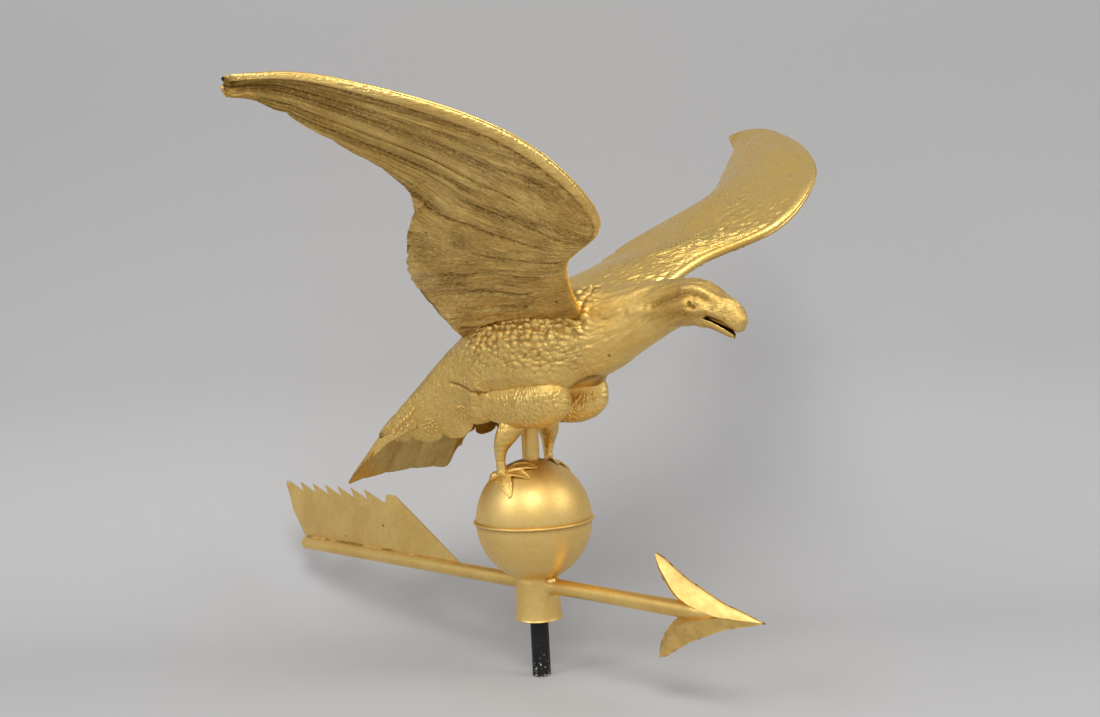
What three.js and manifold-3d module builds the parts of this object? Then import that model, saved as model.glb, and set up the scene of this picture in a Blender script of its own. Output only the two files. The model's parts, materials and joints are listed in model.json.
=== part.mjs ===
// An eagle weathervane in gilded sheet copper.
// The bird stands on a ball over an arrow, and all of it turns on a fixed iron spindle.
// Millimetres, +Z up. The origin is the centre of the spindle's bottom face, and the
// arrow and the beak point along +X. The bird's left side is +Y.
import * as THREE from 'three';
import { mergeVertices } from 'three/addons/utils/BufferGeometryUtils.js';
import Module from 'manifold-3d';

const wasm = await Module();
wasm.setup();

// Sheet, gaps and how finely round things are cut
const sheet = 1;
const seatGap = 0.3;
const runningGap = 0.4;
const fanGap = 0.8;
const cutOverrun = 5;
const roundSides = 28;
const tubeSides = 24;
const shaftSides = 20;
const rodSides = 10;
const toeSides = 6;

// Spindle, its slim upper end and the bearing ball on it
const spindleDiameter = 19.05;
const spindleShown = 61;
const spindleHidden = 34;
const pintleDiameter = 12.7;
const bevel = 1;
const pivotBallDiameter = 9;

// Hub collar and the bushing in it
const collarHeight = 44;
const collarTopDiameter = 46;
const collarBottomDiameter = 48.6;
const collarLip = 0.8;
const collarWall = 3;
const collarFlareShare = 0.6;
const bushingShoulder = 5;

// Pivot tube and its cap. Its top, the head's base and the wing roots lie at shares of the
// body's height over the belly.
const tubeDiameter = 17.8;
const tubeWall = 1.6;
const tubeTopShare = 0.68;
const capThickness = 4;
const capPlug = 8;

// Ball of two pressed halves with a bead on the seam
const ballDiameter = 120.8;
const ballHeight = 127;
const beadWidth = 4;
const beadDepth = 2.4;

// Arrow
const shaftDiameter = 15.875;
const shaftWall = 1.2;
const shaftDrop = 67.5;
const shaftRear = 415;
const filletLength = 6;
const filletRise = 2.4;
const plugLength = 8;
const headTip = 280;
const headLength = 121;
const headSpan = 101;
const headThickness = 20;
const headSocketShare = 0.72;

// Fletching, cut from one flat sheet
const fletchingSheet = 1.6;
const fletchingHeight = 69;
const fletchingFront = 120;
const fletchingFoot = 413;
const fletchingRear = 448;
const barbCount = 7;
const barbFirst = 437;
const barbPitch = 26.3;
const barbDepth = 12;
const barbLean = 6.5;

// Body and tail, from the neck seam back. Heights are above the ball's centre.
const neckSeam = 108;
const bodyLength = 198;
const bodyHeight = 103;
const bodyWidth = 96;
const bellyHeight = 133;
const tailLength = 130;
const tailWidth = 155;
const tailEndHeight = 41;
const scallopDepth = 9;
const coverDepth = 8;
const featherDepth = 4;
const featherCount = 7;

// Head and beak
const headReach = 165.5;
const headBaseShare = 0.485;
const headHeight = 56;
const headWidth = 44;
const beakOpening = 28;
const beakInset = 12.6;
const beakWidth = 22;
const beakDrop = 16.5;
const scoopColumns = 8;

// Wings
const wingHalfSpan = 353;
const wingReach = 230;
const wingRootShare = 0.602;
const wingRise = 220;
const wingRootThickness = 18;
const wingTipThickness = 5;
const wingCamber = 7;

// Thighs, legs and toes
const legSide = 35;
const footX = -8;
const thighLength = 104;
const thighWidth = 38;
const thighDepth = 56;
const thighCentreX = 31;
const thighSide = 28;
const thighDrop = 6.5;
const shankDiameter = 11;
const toeDiameter = 7;
const toeLength = 37;
const toeSeatShare = 0.8;

// Wing spars and their hub on the pivot tube
const sparDiameter = 6;
const sparHubDiameter = 32;
const sparHubThickness = 9;
const nutThickness = 6;
const nutFlats = 27;
const sparSeat = 9;

// Heights and radii that follow from the sizes above
const halfGap = seatGap / 2;
const spindleRadius = spindleDiameter / 2;
const pintleRadius = pintleDiameter / 2;
const tubeRadius = tubeDiameter / 2;
const ballRadius = ballDiameter / 2;
const collarTop = spindleShown + collarHeight;
const ballRise = Math.sqrt(1 - (collarTopDiameter / ballDiameter) ** 2) * ballHeight / 2;
const ballCentre = collarTop + seatGap + ballRise;
const spindleShoulder = spindleShown + spindleHidden;
const tubeBottom = spindleShoulder + runningGap;
const tubeTopAboveBall = bellyHeight + tubeTopShare * bodyHeight;
const tubeTop = ballCentre + tubeTopAboveBall;
const pintleTop = tubeTop - capPlug - pivotBallDiameter - seatGap * 2;
const shaftRadius = shaftDiameter / 2;
const headTipX = neckSeam + headReach;
const headBase = bellyHeight + headBaseShare * bodyHeight;
const thighHeight = bellyHeight - thighDrop;
const wingRoot = bellyHeight + wingRootShare * bodyHeight;
const hexSides = 6;
const nutRadius = nutFlats / 2 / Math.cos(Math.PI / hexSides);

// Materials
const gilt = { color: 0xc59a45, roughness: 0.38, metalness: 1 };
const giltBright = { color: 0xd8b35a, roughness: 0.28, metalness: 1 };
const brass = { color: 0xa98b4a, roughness: 0.35, metalness: 1 };
const iron = { color: 0x161616, roughness: 0.55, metalness: 0.4 };
const steel = { color: 0x8d9094, roughness: 0.25, metalness: 1 };

// A closed surface from loose triangles: welded, without slivers, facing outwards
function closed(positions) {
  const loose = new THREE.BufferGeometry();
  loose.setAttribute('position', new THREE.Float32BufferAttribute(positions, 3));
  const welded = mergeVertices(loose, seatGap / 1000);
  const index = welded.index.array;
  const kept = [];
  for (let i = 0; i < index.length; i += 3) {
    const [a, b, c] = [index[i], index[i + 1], index[i + 2]];
    if (a !== b && b !== c && c !== a) kept.push(a, b, c);
  }
  welded.setIndex(kept);
  return facingOut(welded);
}

function facingOut(geometry) {
  const p = geometry.attributes.position;
  const index = Array.from(geometry.index.array);
  const at = (i) => new THREE.Vector3().fromBufferAttribute(p, i);
  let volume = 0;
  for (let i = 0; i < index.length; i += 3) {
    volume += at(index[i]).dot(at(index[i + 1]).cross(at(index[i + 2])));
  }
  if (volume < 0) {
    for (let i = 0; i < index.length; i += 3) {
      [index[i + 1], index[i + 2]] = [index[i + 2], index[i + 1]];
    }
    geometry.setIndex(index);
  }
  geometry.computeVertexNormals();
  return geometry;
}

function plain(geometry) {
  const bare = geometry.index ? geometry.toNonIndexed() : geometry;
  return closed(Array.from(bare.attributes.position.array));
}

function quad(out, a, b, c, d) {
  out.push(...a, ...b, ...c, ...a, ...c, ...d);
}

// A sheet with thickness from two grids of points: its outer and its inner face
function sheetSolid(outer, inner) {
  const out = [];
  const rows = outer.length - 1;
  const columns = outer[0].length - 1;
  for (let i = 0; i < rows; i++) {
    for (let j = 0; j < columns; j++) {
      quad(out, outer[i][j], outer[i + 1][j], outer[i + 1][j + 1], outer[i][j + 1]);
      quad(out, inner[i][j], inner[i][j + 1], inner[i + 1][j + 1], inner[i + 1][j]);
    }
    quad(out, outer[i][0], inner[i][0], inner[i + 1][0], outer[i + 1][0]);
    quad(out, outer[i][columns], outer[i + 1][columns], inner[i + 1][columns], inner[i][columns]);
  }
  for (let j = 0; j < columns; j++) {
    quad(out, outer[0][j], outer[0][j + 1], inner[0][j + 1], inner[0][j]);
    quad(out, outer[rows][j], inner[rows][j], inner[rows][j + 1], outer[rows][j + 1]);
  }
  return closed(out);
}

// A solid through a row of closed rings, with its two ends filled
function loftSolid(rings) {
  const out = [];
  const count = rings[0].length;
  for (let i = 0; i < rings.length - 1; i++) {
    for (let j = 0; j < count; j++) {
      const k = (j + 1) % count;
      quad(out, rings[i][j], rings[i][k], rings[i + 1][k], rings[i + 1][j]);
    }
  }
  for (const [ring, turned] of [[rings[0], true], [rings.at(-1), false]]) {
    const middle = [0, 1, 2].map((n) => ring.reduce((sum, p) => sum + p[n], 0) / count);
    for (let j = 0; j < count; j++) {
      const k = (j + 1) % count;
      const [from, to] = turned ? [ring[k], ring[j]] : [ring[j], ring[k]];
      out.push(...from, ...to, ...middle);
    }
  }
  return closed(out);
}

function lathe(profile, sides = roundSides) {
  const points = profile.map(([radius, height]) => new THREE.Vector2(radius, height));
  const turned = new THREE.LatheGeometry(points, sides);
  turned.rotateX(Math.PI / 2);
  return plain(turned);
}

function ring(innerRadius, outerRadius, bottom, top, sides = roundSides) {
  const corners = [[innerRadius, bottom], [outerRadius, bottom], [outerRadius, top], [innerRadius, top]];
  return lathe([...corners, corners[0]], sides);
}

function disc(radius, bottom, top, sides = roundSides) {
  return lathe([[0, bottom], [radius, bottom], [radius, top], [0, top]], sides);
}

function toManifold(geometry) {
  const vertProperties = new Float32Array(geometry.attributes.position.array);
  const triVerts = new Uint32Array(geometry.index.array);
  return new wasm.Manifold(new wasm.Mesh({ numProp: 3, vertProperties, triVerts }));
}

function fromManifold(solid) {
  const mesh = solid.getMesh();
  const geometry = new THREE.BufferGeometry();
  geometry.setAttribute('position', new THREE.Float32BufferAttribute(mesh.vertProperties, 3));
  geometry.setIndex(Array.from(mesh.triVerts));
  return facingOut(geometry);
}

function cut(geometry, ...tools) {
  const rest = tools.reduce((solid, tool) => solid.subtract(toManifold(tool)), toManifold(geometry));
  return fromManifold(rest);
}

function join(...pieces) {
  return fromManifold(pieces.map(toManifold).reduce((solid, piece) => solid.add(piece)));
}

function mirrored(geometry) {
  const copy = geometry.clone();
  copy.scale(1, -1, 1);
  return facingOut(copy);
}

function named(name, geometry, finish) {
  const mesh = new THREE.Mesh(geometry, new THREE.MeshStandardMaterial(finish));
  mesh.name = name;
  return mesh;
}

function lerp(a, b, share) {
  return a + (b - a) * share;
}

// Evenly spaced numbers from 0 to 1
function steps(count) {
  return Array.from({ length: count + 1 }, (_, i) => i / count);
}

// A row of numbers between the rows of a table, on a smooth curve through them
function tableAt(table, place) {
  const i = Math.min(Math.floor(place), table.length - 2);
  const t = place - i;
  const rows = [i - 1, i, i + 1, i + 2].map((n) => table[Math.max(0, Math.min(table.length - 1, n))]);
  return rows[1].map((_, n) => {
    const [a, b, c, d] = rows.map((row) => row[n]);
    const slope = (c - a) / 2;
    const nextSlope = (d - b) / 2;
    const bend = 3 * (c - b) - 2 * slope - nextSlope;
    const twist = 2 * (b - c) + slope + nextSlope;
    return b + t * (slope + t * (bend + t * twist));
  });
}

// The round edge of one lobe in a row of lobes: 0 between two lobes, 1 at a lobe's middle
function lobe(place) {
  const across = 2 * (place - Math.floor(place)) - 1;
  return Math.sqrt(Math.max(0, 1 - across * across));
}

// Body and tail sections. Each row: place along, then heights of the ridge and of the
// widest line, half width, and the side and height of the hem, where the sheet ends.
// A hem on the middle line closes the belly.
const bodyShares = [
  [0, 1, 0.58, 0.77, 0, 0.17],
  [0.14, 1, 0.55, 0.92, 0, 0.09],
  [0.32, 0.97, 0.52, 1, 0, 0.03],
  [0.49, 0.92, 0.48, 1, 0, 0],
  [0.62, 0.86, 0.43, 0.98, 0.12, -0.08],
  [0.72, 0.79, 0.36, 0.96, 0.54, -0.28],
  [0.85, 0.67, 0.26, 0.96, 0.75, -0.44],
  [1, 0.47, 0.1, 1.02, 0.77, -0.49],
];
const tailShares = [
  [0.23, 0.81, 0.56, 0.71, 0.5, 0.27],
  [0.43, 0.62, 0.44, 0.78, 0.61, 0.27],
  [0.59, 0.46, 0.32, 0.85, 0.71, 0.28],
  [0.8, 0.23, 0.11, 0.94, 0.76, 0],
  [1, -0.015, -0.09, 1, 0.85, -0.13],
];
const rumpHeight = bellyHeight + bodyShares.at(-1)[1] * bodyHeight;
const tailRise = rumpHeight - tailEndHeight;
const bodyStations = [
  ...bodyShares.map(([along, ridge, middle, wide, hem, low]) => [
    neckSeam - along * bodyLength,
    bellyHeight + ridge * bodyHeight,
    bellyHeight + middle * bodyHeight,
    wide * bodyWidth / 2,
    hem * bodyWidth / 2,
    bellyHeight + low * bodyHeight,
  ]),
  ...tailShares.map(([along, ridge, middle, wide, hem, low]) => [
    neckSeam - bodyLength - along * tailLength,
    tailEndHeight + ridge * tailRise,
    tailEndHeight + middle * tailRise,
    wide * tailWidth / 2,
    hem * tailWidth / 2,
    tailEndHeight + low * tailRise,
  ]),
];
const bodyEnd = bodyShares.length + 2;
const hemStart = 4;
const hemLobes = 4;
const coverLobes = 3;
const lastBay = bodyStations[bodyEnd - 1][0] - bodyStations[bodyEnd][0];
const sectionColumns = 12;

// Head and neck sections, from the neck seam to the front of the beak, in the same form
const headShares = [
  [0.1, 0.96, 0.27, 1.5, 0, -0.445],
  [0.21, 0.97, 0.36, 1.32, 0, -0.27],
  [0.31, 0.99, 0.45, 1.14, 0, -0.11],
  [0.42, 1, 0.53, 1, 0, 0.05],
  [0.53, 1.02, 0.6, 0.95, 0, 0.2],
  [0.63, 1.02, 0.62, 1, 0, 0.24],
  [0.69, 1, 0.6, 1, 0, 0.23],
  [0.735, 0.97, 0.58, 0.91, 0, 0.2],
  [0.775, 0.92, 0.55, 0.82, 0, 0.33],
  [0.82, 0.81, 0.49, 0.66, 0, 0.32],
  [0.87, 0.71, 0.44, 0.55, 0, 0.25],
  [0.92, 0.65, 0.36, 0.45, 0, 0.15],
  [0.955, 0.57, 0.31, 0.36, 0, 0.11],
  [0.98, 0.45, 0.29, 0.25, 0, 0.155],
  [1, 0.33, 0.33, 0, 0, 0.33],
];
const headStations = [
  [neckSeam, ...bodyStations[0].slice(1)],
  ...headShares.map(([along, crown, middle, wide, hem, low]) => [
    neckSeam + along * headReach,
    headBase + crown * headHeight,
    headBase + middle * headHeight,
    wide * headWidth / 2,
    hem,
    headBase + low * headHeight,
  ]),
];

// A point of a section. round runs from 0 at the ridge over 0.5 at the widest line to 1 at
// the hem, inset moves it into the bird, and centre is how close it comes to the middle line.
function sectionPoint([x, ridge, middle, wide, hem, low], round, inset, centre) {
  const side = Math.max(wide - inset, centre);
  const hemSide = Math.min(Math.max(hem, centre), side);
  if (round <= 0.5) {
    const angle = round * Math.PI;
    const top = Math.max(ridge - inset, middle);
    return [x, lerp(centre, side, Math.sin(angle)), lerp(middle, top, Math.cos(angle))];
  }
  const share = 2 * round - 1;
  const angle = share * Math.PI / 2;
  const openness = Math.min(1, hem / (wide / 2 + halfGap));
  const fall = lerp(Math.sin(angle), share, openness);
  const bottom = Math.min(low + inset, middle);
  return [x, lerp(hemSide, side, Math.cos(angle)), lerp(middle, bottom, fall)];
}

function sectionRing(station, inset) {
  const left = steps(sectionColumns).map((round) => sectionPoint(station, round, inset, 0));
  const right = left.map(([x, y, z]) => [x, -y, z]).reverse();
  return [...left, ...right];
}

const bodyPlaces = [0, 0.5, 1, 1.5, 2, 2.5, 3, 3.5];
for (let place = hemStart; place < bodyEnd - 0.5; place += 1 / 3) bodyPlaces.push(place);
bodyPlaces.push(bodyEnd);
const headPlaces = [0, 0.5, ...steps(headShares.length - 1).map((t) => 1 + t * (headShares.length - 1))];

// How far down a body section goes, as a share: the hem is cut in round lobes
function hemShare(station, place) {
  if (place <= hemStart) return 1;
  const side = station[2] - station[5];
  const along = (place - hemStart) / (bodyEnd - hemStart) * hemLobes;
  return 1 - scallopDepth / side * (1 - lobe(along));
}

function bodyPoint(place, round, inset) {
  const station = tableAt(bodyStations, place);
  const below = Math.max(0, round - 0.5) * hemShare(station, place);
  return sectionPoint(station, Math.min(round, 0.5) + below, inset, halfGap);
}

// The last row of the body's roof ends in lobes over the tail
function bodyPlace(place, round) {
  if (place < bodyEnd) return place;
  return place - coverDepth / lastBay * (1 - lobe(round * 2 * coverLobes));
}

function bodyHalf() {
  const rounds = steps(sectionColumns);
  const grid = (inset) => bodyPlaces.map((place) => (
    rounds.map((round) => bodyPoint(bodyPlace(place, round), round, inset))
  ));
  return sheetSolid(grid(0), grid(sheet));
}

function bodySolid(inset) {
  return loftSolid(bodyPlaces.map((place) => sectionRing(tableAt(bodyStations, place), inset)));
}

function headHalf() {
  const rounds = steps(sectionColumns);
  const last = headPlaces.at(-1);
  const grid = (inset) => headPlaces.map((place) => {
    const station = tableAt(headStations, place);
    if (place === last) station[0] -= inset;
    if (place === 0) station[0] += seatGap;
    return rounds.map((round) => sectionPoint(station, round, inset, halfGap));
  });
  return sheetSolid(grid(0), grid(sheet));
}

function headSolid(inset) {
  return loftSolid(headPlaces.map((place) => sectionRing(tableAt(headStations, place), inset)));
}

// The lower beak is a scoop: a round trough that narrows to its tip
// Each row: place along, then height of the brim, width and depth
const scoopShares = [
  [0, 1.05, 1, 0.45],
  [0.35, 0.75, 0.85, 0.34],
  [0.75, 0.36, 0.55, 0.23],
  [1, 0.12, 0.15, 0.12],
];
function lowerBeak() {
  const rounds = steps(scoopColumns).map((t) => (t - 0.5) * Math.PI);
  const grid = (inset) => scoopShares.map(([along, top, wide, deep]) => {
    const x = headTipX - beakInset + (along - 1) * beakOpening;
    const side = wide * beakWidth / 2 - inset;
    const bottom = deep * beakDrop - inset;
    const brim = headBase + top * beakDrop;
    return rounds.map((angle) => [x, side * Math.sin(angle), brim - bottom * Math.cos(angle)]);
  });
  return cut(sheetSolid(grid(0), grid(sheet)), headSolid(-seatGap));
}

// Tail fan: an arched sheet that starts inside the body's rear and ends in feather tips
function tailFan() {
  const start = bodyShares.length;
  const end = bodyStations.length - 1;
  const endBay = bodyStations[end - 1][0] - bodyStations[end][0];
  const places = [];
  for (let place = start; place < end - 0.5; place += 1 / 3) places.push(place);
  places.push(end);
  const across = steps(sectionColumns).map((t) => 2 * t - 1);
  const notch = (side) => featherDepth / endBay * (1 - lobe((side + 1) / 2 * featherCount));
  const grid = (inset) => places.map((place) => across.map((side) => {
    const station = tableAt(bodyStations, place < end ? place : place - notch(side));
    const [x, y, z] = sectionPoint(station, Math.abs(side) / 2, inset, 0);
    return [x, Math.sign(side) * y, z];
  }));
  return sheetSolid(grid(sheet + fanGap), grid(2 * sheet + fanGap));
}

// Wing edges from the root to the tip: along the reach, the half span and the rise
const leadingShares = [
  [0.41, 0.03, 0.05],
  [0.52, 0.136, 0.105],
  [0.68, 0.284, 0.275],
  [0.978, 0.374, 0.413],
  [1, 0.55, 0.636],
  [0.815, 0.702, 0.811],
  [0.44, 0.892, 0.968],
  [0.12, 1, 1.01],
];
const trailingShares = [
  [-0.29, 0.03, -0.03],
  [-0.27, 0.1, 0],
  [-0.225, 0.252, 0.19],
  [-0.086, 0.38, 0.299],
  [0.072, 0.462, 0.428],
  [0.335, 0.605, 0.602],
  [0.207, 0.891, 0.876],
  [0.115, 1, 0.958],
];
function wingEdge(shares) {
  const points = shares.map(([along, out, up]) => (
    new THREE.Vector3(along * wingReach, out * wingHalfSpan, wingRoot + up * wingRise)
  ));
  return new THREE.CatmullRomCurve3(points, false, 'catmullrom', 0.5);
}
const leadingEdge = wingEdge(leadingShares);
const trailingEdge = wingEdge(trailingShares);

// The wing is fullest a third of the way back, where this is the profile's height
const fullestShare = 1 / 3;
const fullestProfile = Math.sqrt(fullestShare) * (1 - fullestShare);

// A point of the wing: share is 1 on the upper face, -1 on the lower one, and depth is how
// far it lies under that face
function wingPoint(along, chord, face, depth) {
  const front = leadingEdge.getPoint(along);
  const back = trailingEdge.getPoint(along);
  const chordLine = back.clone().sub(front);
  const spanLine = leadingEdge.getTangent(along).add(trailingEdge.getTangent(along));
  const up = chordLine.clone().cross(spanLine).normalize();
  if (up.z < 0) up.negate();
  const thick = lerp(wingRootThickness, wingTipThickness, along) / 2;
  const edge = sheet + halfGap;
  const profile = Math.sqrt(chord) * (1 - chord) / fullestProfile;
  const half = edge + (thick - edge) * profile - depth;
  const middle = front.lerp(back, chord).addScaledVector(up, wingCamber * Math.sin(Math.PI * chord));
  return middle.addScaledVector(up, face * half).toArray();
}

const wingRowShares = [0, 0.07, 0.14, 0.21, 0.28, 0.34, 0.39, 0.43, 0.47, 0.51, 0.55, 0.59, 0.63, 0.67];
wingRowShares.push(0.71, 0.76, 0.81, 0.86, 0.91, 0.955, 1);
const wingColumnShares = [0, 0.03, 0.1, 0.22, 0.4, 0.6, 0.8, 1];
function wingSkin(face) {
  const grid = (depth) => wingRowShares.map((along) => (
    wingColumnShares.map((chord) => wingPoint(along, chord, face, depth))
  ));
  return cut(sheetSolid(grid(0), grid(sheet)), bodySolid(-seatGap), headSolid(-seatGap));
}

// A round rod or tapering limb along a smooth line: each point has its own radius. A line
// that leans less than this share of its length counts as upright.
const uprightShare = 0.2;
function limb(points, sides) {
  const places = steps((points.length - 1) * 2).map((t) => t * (points.length - 1));
  const line = places.map((place) => tableAt(points, place));
  const rings = line.map(([x, y, z, radius], i) => {
    const before = new THREE.Vector3(...line[Math.max(0, i - 1)]);
    const after = new THREE.Vector3(...line[Math.min(line.length - 1, i + 1)]);
    const along = after.sub(before).normalize();
    const upright = Math.hypot(along.x, along.y) < uprightShare;
    const across = upright ? new THREE.Vector3(0, 1, 0) : new THREE.Vector3(-along.y, along.x, 0);
    across.normalize();
    const third = along.clone().cross(across);
    return steps(sides).slice(1).map((turn) => {
      const angle = turn * 2 * Math.PI;
      return new THREE.Vector3(x, y, z)
        .addScaledVector(across, radius * Math.cos(angle))
        .addScaledVector(third, radius * Math.sin(angle))
        .toArray();
    });
  });
  return loftSolid(rings);
}

// Thigh: an egg shaped bulge on the body's side, open where it meets the body
function thighEgg(inset) {
  const egg = new THREE.SphereGeometry(1, 18, 10);
  egg.scale(thighLength / 2 - inset, thighWidth / 2 - inset, thighDepth / 2 - inset);
  egg.translate(thighCentreX, thighSide, thighHeight);
  return plain(egg);
}

function thigh() {
  return cut(thighEgg(0), thighEgg(sheet), bodySolid(-seatGap));
}

// Height of the ball's surface over a place beside its axis
function ballSurface(x, y) {
  return ballHeight / 2 * Math.sqrt(1 - (x * x + y * y) / ballRadius ** 2);
}

// Toes: turn in degrees and length as a share of the longest
const toes = [
  { turn: -33, share: 1 },
  { turn: -9, share: 0.93 },
  { turn: 30, share: 0.76 },
  { turn: 175, share: 0.73 },
];
const toeThicknessShares = [1, 0.95, 0.85, 0.7, 0.3];
function toe({ turn, share }) {
  const angle = THREE.MathUtils.degToRad(turn);
  const points = toeThicknessShares.map((thickness, i) => {
    const out = toeLength * share * i / (toeThicknessShares.length - 1);
    const x = footX + out * Math.cos(angle);
    const y = legSide + out * Math.sin(angle);
    const radius = thickness * toeDiameter / 2;
    return [x, y, ballSurface(x, y) + radius * toeSeatShare, radius];
  });
  return limb(points, toeSides);
}

// Shank from the foot into the thigh: forward and height as shares, thickness in shanks
const shankShares = [
  [0, 0, 1.15],
  [-0.02, 0.2, 1.05],
  [-0.02, 0.38, 1.15],
  [0.02, 0.54, 1.65],
  [0.09, 0.72, 2.4],
  [0.18, 0.9, 3.1],
  [0.22, 1, 3.4],
];
function leg() {
  const foot = ballSurface(footX, legSide);
  const shankLength = thighHeight - thighDepth / 2 + cutOverrun - foot;
  const points = shankShares.map(([forward, up, thick]) => (
    [footX + forward * shankLength, legSide, foot + up * shankLength, thick * shankDiameter / 2]
  ));
  const whole = join(limb(points, rodSides), ...toes.map(toe));
  return cut(whole, thighEgg(-seatGap), bodySolid(-seatGap), ballSolid(seatGap));
}

// The ball's outline from its middle up to the hole for the pivot tube
function ballOutline(inset) {
  const radius = ballRadius - inset;
  const end = Math.acos((tubeRadius + seatGap) / radius);
  return steps(6).map((t) => [
    radius * Math.cos(t * end),
    Math.max(halfGap, (ballHeight / 2 - inset) * Math.sin(t * end)),
  ]);
}

function ballSolid(gap) {
  const upper = ballOutline(-gap);
  const lower = upper.map(([radius, height]) => [radius, -height]).reverse();
  const top = upper.at(-1)[1];
  return lathe([[0, -top], ...lower, ...upper, [0, top]]);
}

// One pressed half of the ball. side is 1 for the upper half.
function ballHalf(side) {
  const outside = ballOutline(0);
  const profile = [...outside, ...ballOutline(sheet).reverse(), outside[0]];
  return lathe(profile.map(([radius, height]) => [radius, side * height]));
}

function ballBead() {
  const inside = ballRadius + seatGap;
  const arc = steps(4).map((t) => {
    const angle = (t - 0.5) * Math.PI;
    return [inside + beadDepth * Math.cos(angle), beadWidth / 2 * Math.sin(angle)];
  });
  return lathe([...arc, arc[0]]);
}

// Spindle with a slim pintle on top, both bevelled
function spindle() {
  return lathe([
    [0, 0],
    [spindleRadius - bevel, 0],
    [spindleRadius, bevel],
    [spindleRadius, spindleShoulder - bevel],
    [spindleRadius - bevel, spindleShoulder],
    [pintleRadius, spindleShoulder],
    [pintleRadius, pintleTop],
    [0, pintleTop],
  ]);
}

function pivotBall() {
  const ball = new THREE.SphereGeometry(pivotBallDiameter / 2, 12, 8);
  ball.rotateX(Math.PI / 2);
  ball.translate(0, 0, pintleTop + seatGap + pivotBallDiameter / 2);
  return plain(ball);
}

function collarOutline(gap) {
  const bottom = collarBottomDiameter / 2 + gap;
  const top = collarTopDiameter / 2 + gap;
  return [
    [bottom + collarLip, spindleShown],
    [bottom, spindleShown + 3 * collarLip],
    [top, spindleShown + collarFlareShare * collarHeight],
    [top, collarTop],
  ];
}

function collar() {
  const bore = collarTopDiameter / 2 - collarWall;
  const outside = collarOutline(0);
  return lathe([...outside, [bore, collarTop], [bore, spindleShown], outside[0]]);
}

function collarSolid() {
  return lathe([[0, spindleShown], ...collarOutline(seatGap), [0, collarTop]]);
}

// The bushing runs on the spindle below and holds the pivot tube above
function bushing() {
  const outer = collarTopDiameter / 2 - collarWall - seatGap;
  const lower = spindleRadius + runningGap;
  const upper = tubeRadius + seatGap;
  const bottom = spindleShown + bushingShoulder;
  const step = spindleShoulder + runningGap / 2;
  const top = ballCentre - ballHeight / 2 - seatGap;
  const low = [[lower, bottom], [outer, bottom], [outer, top]];
  const high = [[upper, top], [upper, step], [lower, step]];
  return lathe([...low, ...high, low[0]]);
}

function pivotCap() {
  const plug = tubeRadius - tubeWall - seatGap;
  const bottom = tubeTop - capPlug;
  return lathe([
    [0, bottom],
    [plug, bottom],
    [plug, tubeTop + seatGap],
    [tubeRadius, tubeTop + seatGap],
    [tubeRadius, tubeTop + capThickness - bevel],
    [tubeRadius - bevel, tubeTop + capThickness],
    [0, tubeTop + capThickness],
  ], tubeSides);
}

// Arrow shafts run along X. They end on the collar with a solder fillet.
function alongX(geometry, start) {
  geometry.rotateY(Math.PI / 2);
  geometry.translate(start, 0, ballCentre - shaftDrop);
  return facingOut(geometry);
}

function shaft(length) {
  const root = shaftRadius + filletRise;
  const bore = shaftRadius - shaftWall;
  const joint = collarTopDiameter / 2;
  const fillet = [[root, 0], [root, joint], [shaftRadius, joint + filletLength]];
  return lathe([...fillet, [shaftRadius, length], [bore, length], [bore, 0], fillet[0]], shaftSides);
}

function ballAbove() {
  const ball = ballSolid(seatGap);
  ball.translate(0, 0, ballCentre);
  return ball;
}

function frontShaft() {
  return cut(alongX(shaft(headTip - headSocketShare * headLength), 0), collarSolid(), ballAbove());
}

function rearShaft() {
  const tube = shaft(shaftRear - plugLength);
  tube.rotateZ(Math.PI);
  tube.rotateY(Math.PI);
  return cut(alongX(tube, 0), collarSolid(), ballAbove());
}

function shaftPlug() {
  const bore = shaftRadius - shaftWall - seatGap;
  const head = plugLength - seatGap;
  const round = steps(4).map((t) => {
    const angle = t * Math.PI / 2;
    return [shaftRadius * Math.cos(angle), -(head / 2) * (1 + Math.sin(angle))];
  });
  const inside = [[0, plugLength], [bore, plugLength], [bore, 0], [shaftRadius, 0]];
  return alongX(lathe([...inside, ...round], shaftSides), -(shaftRear - plugLength) - seatGap);
}

// Arrow head ribs from the tip back: outer edge, inner edge, the crest between them and its
// height. An inner edge on the axis joins the other barb.
const deepestTrimShare = 0.45;
const headRibShares = [
  [0, 0, 0, 0, 0, 0],
  [0.19, 0.14, 0.19, 0, 0, 0.4],
  [0.34, 0.235, 0.36, 0, 0, 0.7],
  [0.45, 0.34, 0.52, 0, 0, 0.95],
  [0.57, 0.47, 0.66, 0, 0, 1],
  [0.69, 0.6, 0.8, 0.17, 0.3, 0.85],
  [0.79, 0.74, 0.9, 0.4, 0.35, 0.65],
  [0.92, 0.94, 0.975, 0.7, 0.4, 0.35],
  [1, 1, 1, 1, 0.5, 0],
];
function headBarb() {
  const place = (along, up) => [headTip - along * headLength, up * headSpan / 2];
  const grid = (inset) => headRibShares.map(([outX, outUp, inX, inUp, crest, high]) => {
    const [x0, z0] = place(outX, outUp);
    const [x1, z1] = place(inX, inUp);
    const width = Math.hypot(x1 - x0, z1 - z0);
    const trim = Math.min(deepestTrimShare, inset * 2 / Math.max(width, sheet));
    const height = Math.max(0, high * (headThickness / 2 - halfGap) - inset * Math.min(1, 3 * high));
    const onAxis = inUp === 0;
    const at = (share, up) => [lerp(x1, x0, share), halfGap + up, lerp(z1, z0, share)];
    return [at(1 - trim, 0), at(crest, height), at(onAxis ? 0 : trim, onAxis ? height : 0)];
  });
  return sheetSolid(grid(0), grid(sheet));
}

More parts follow.
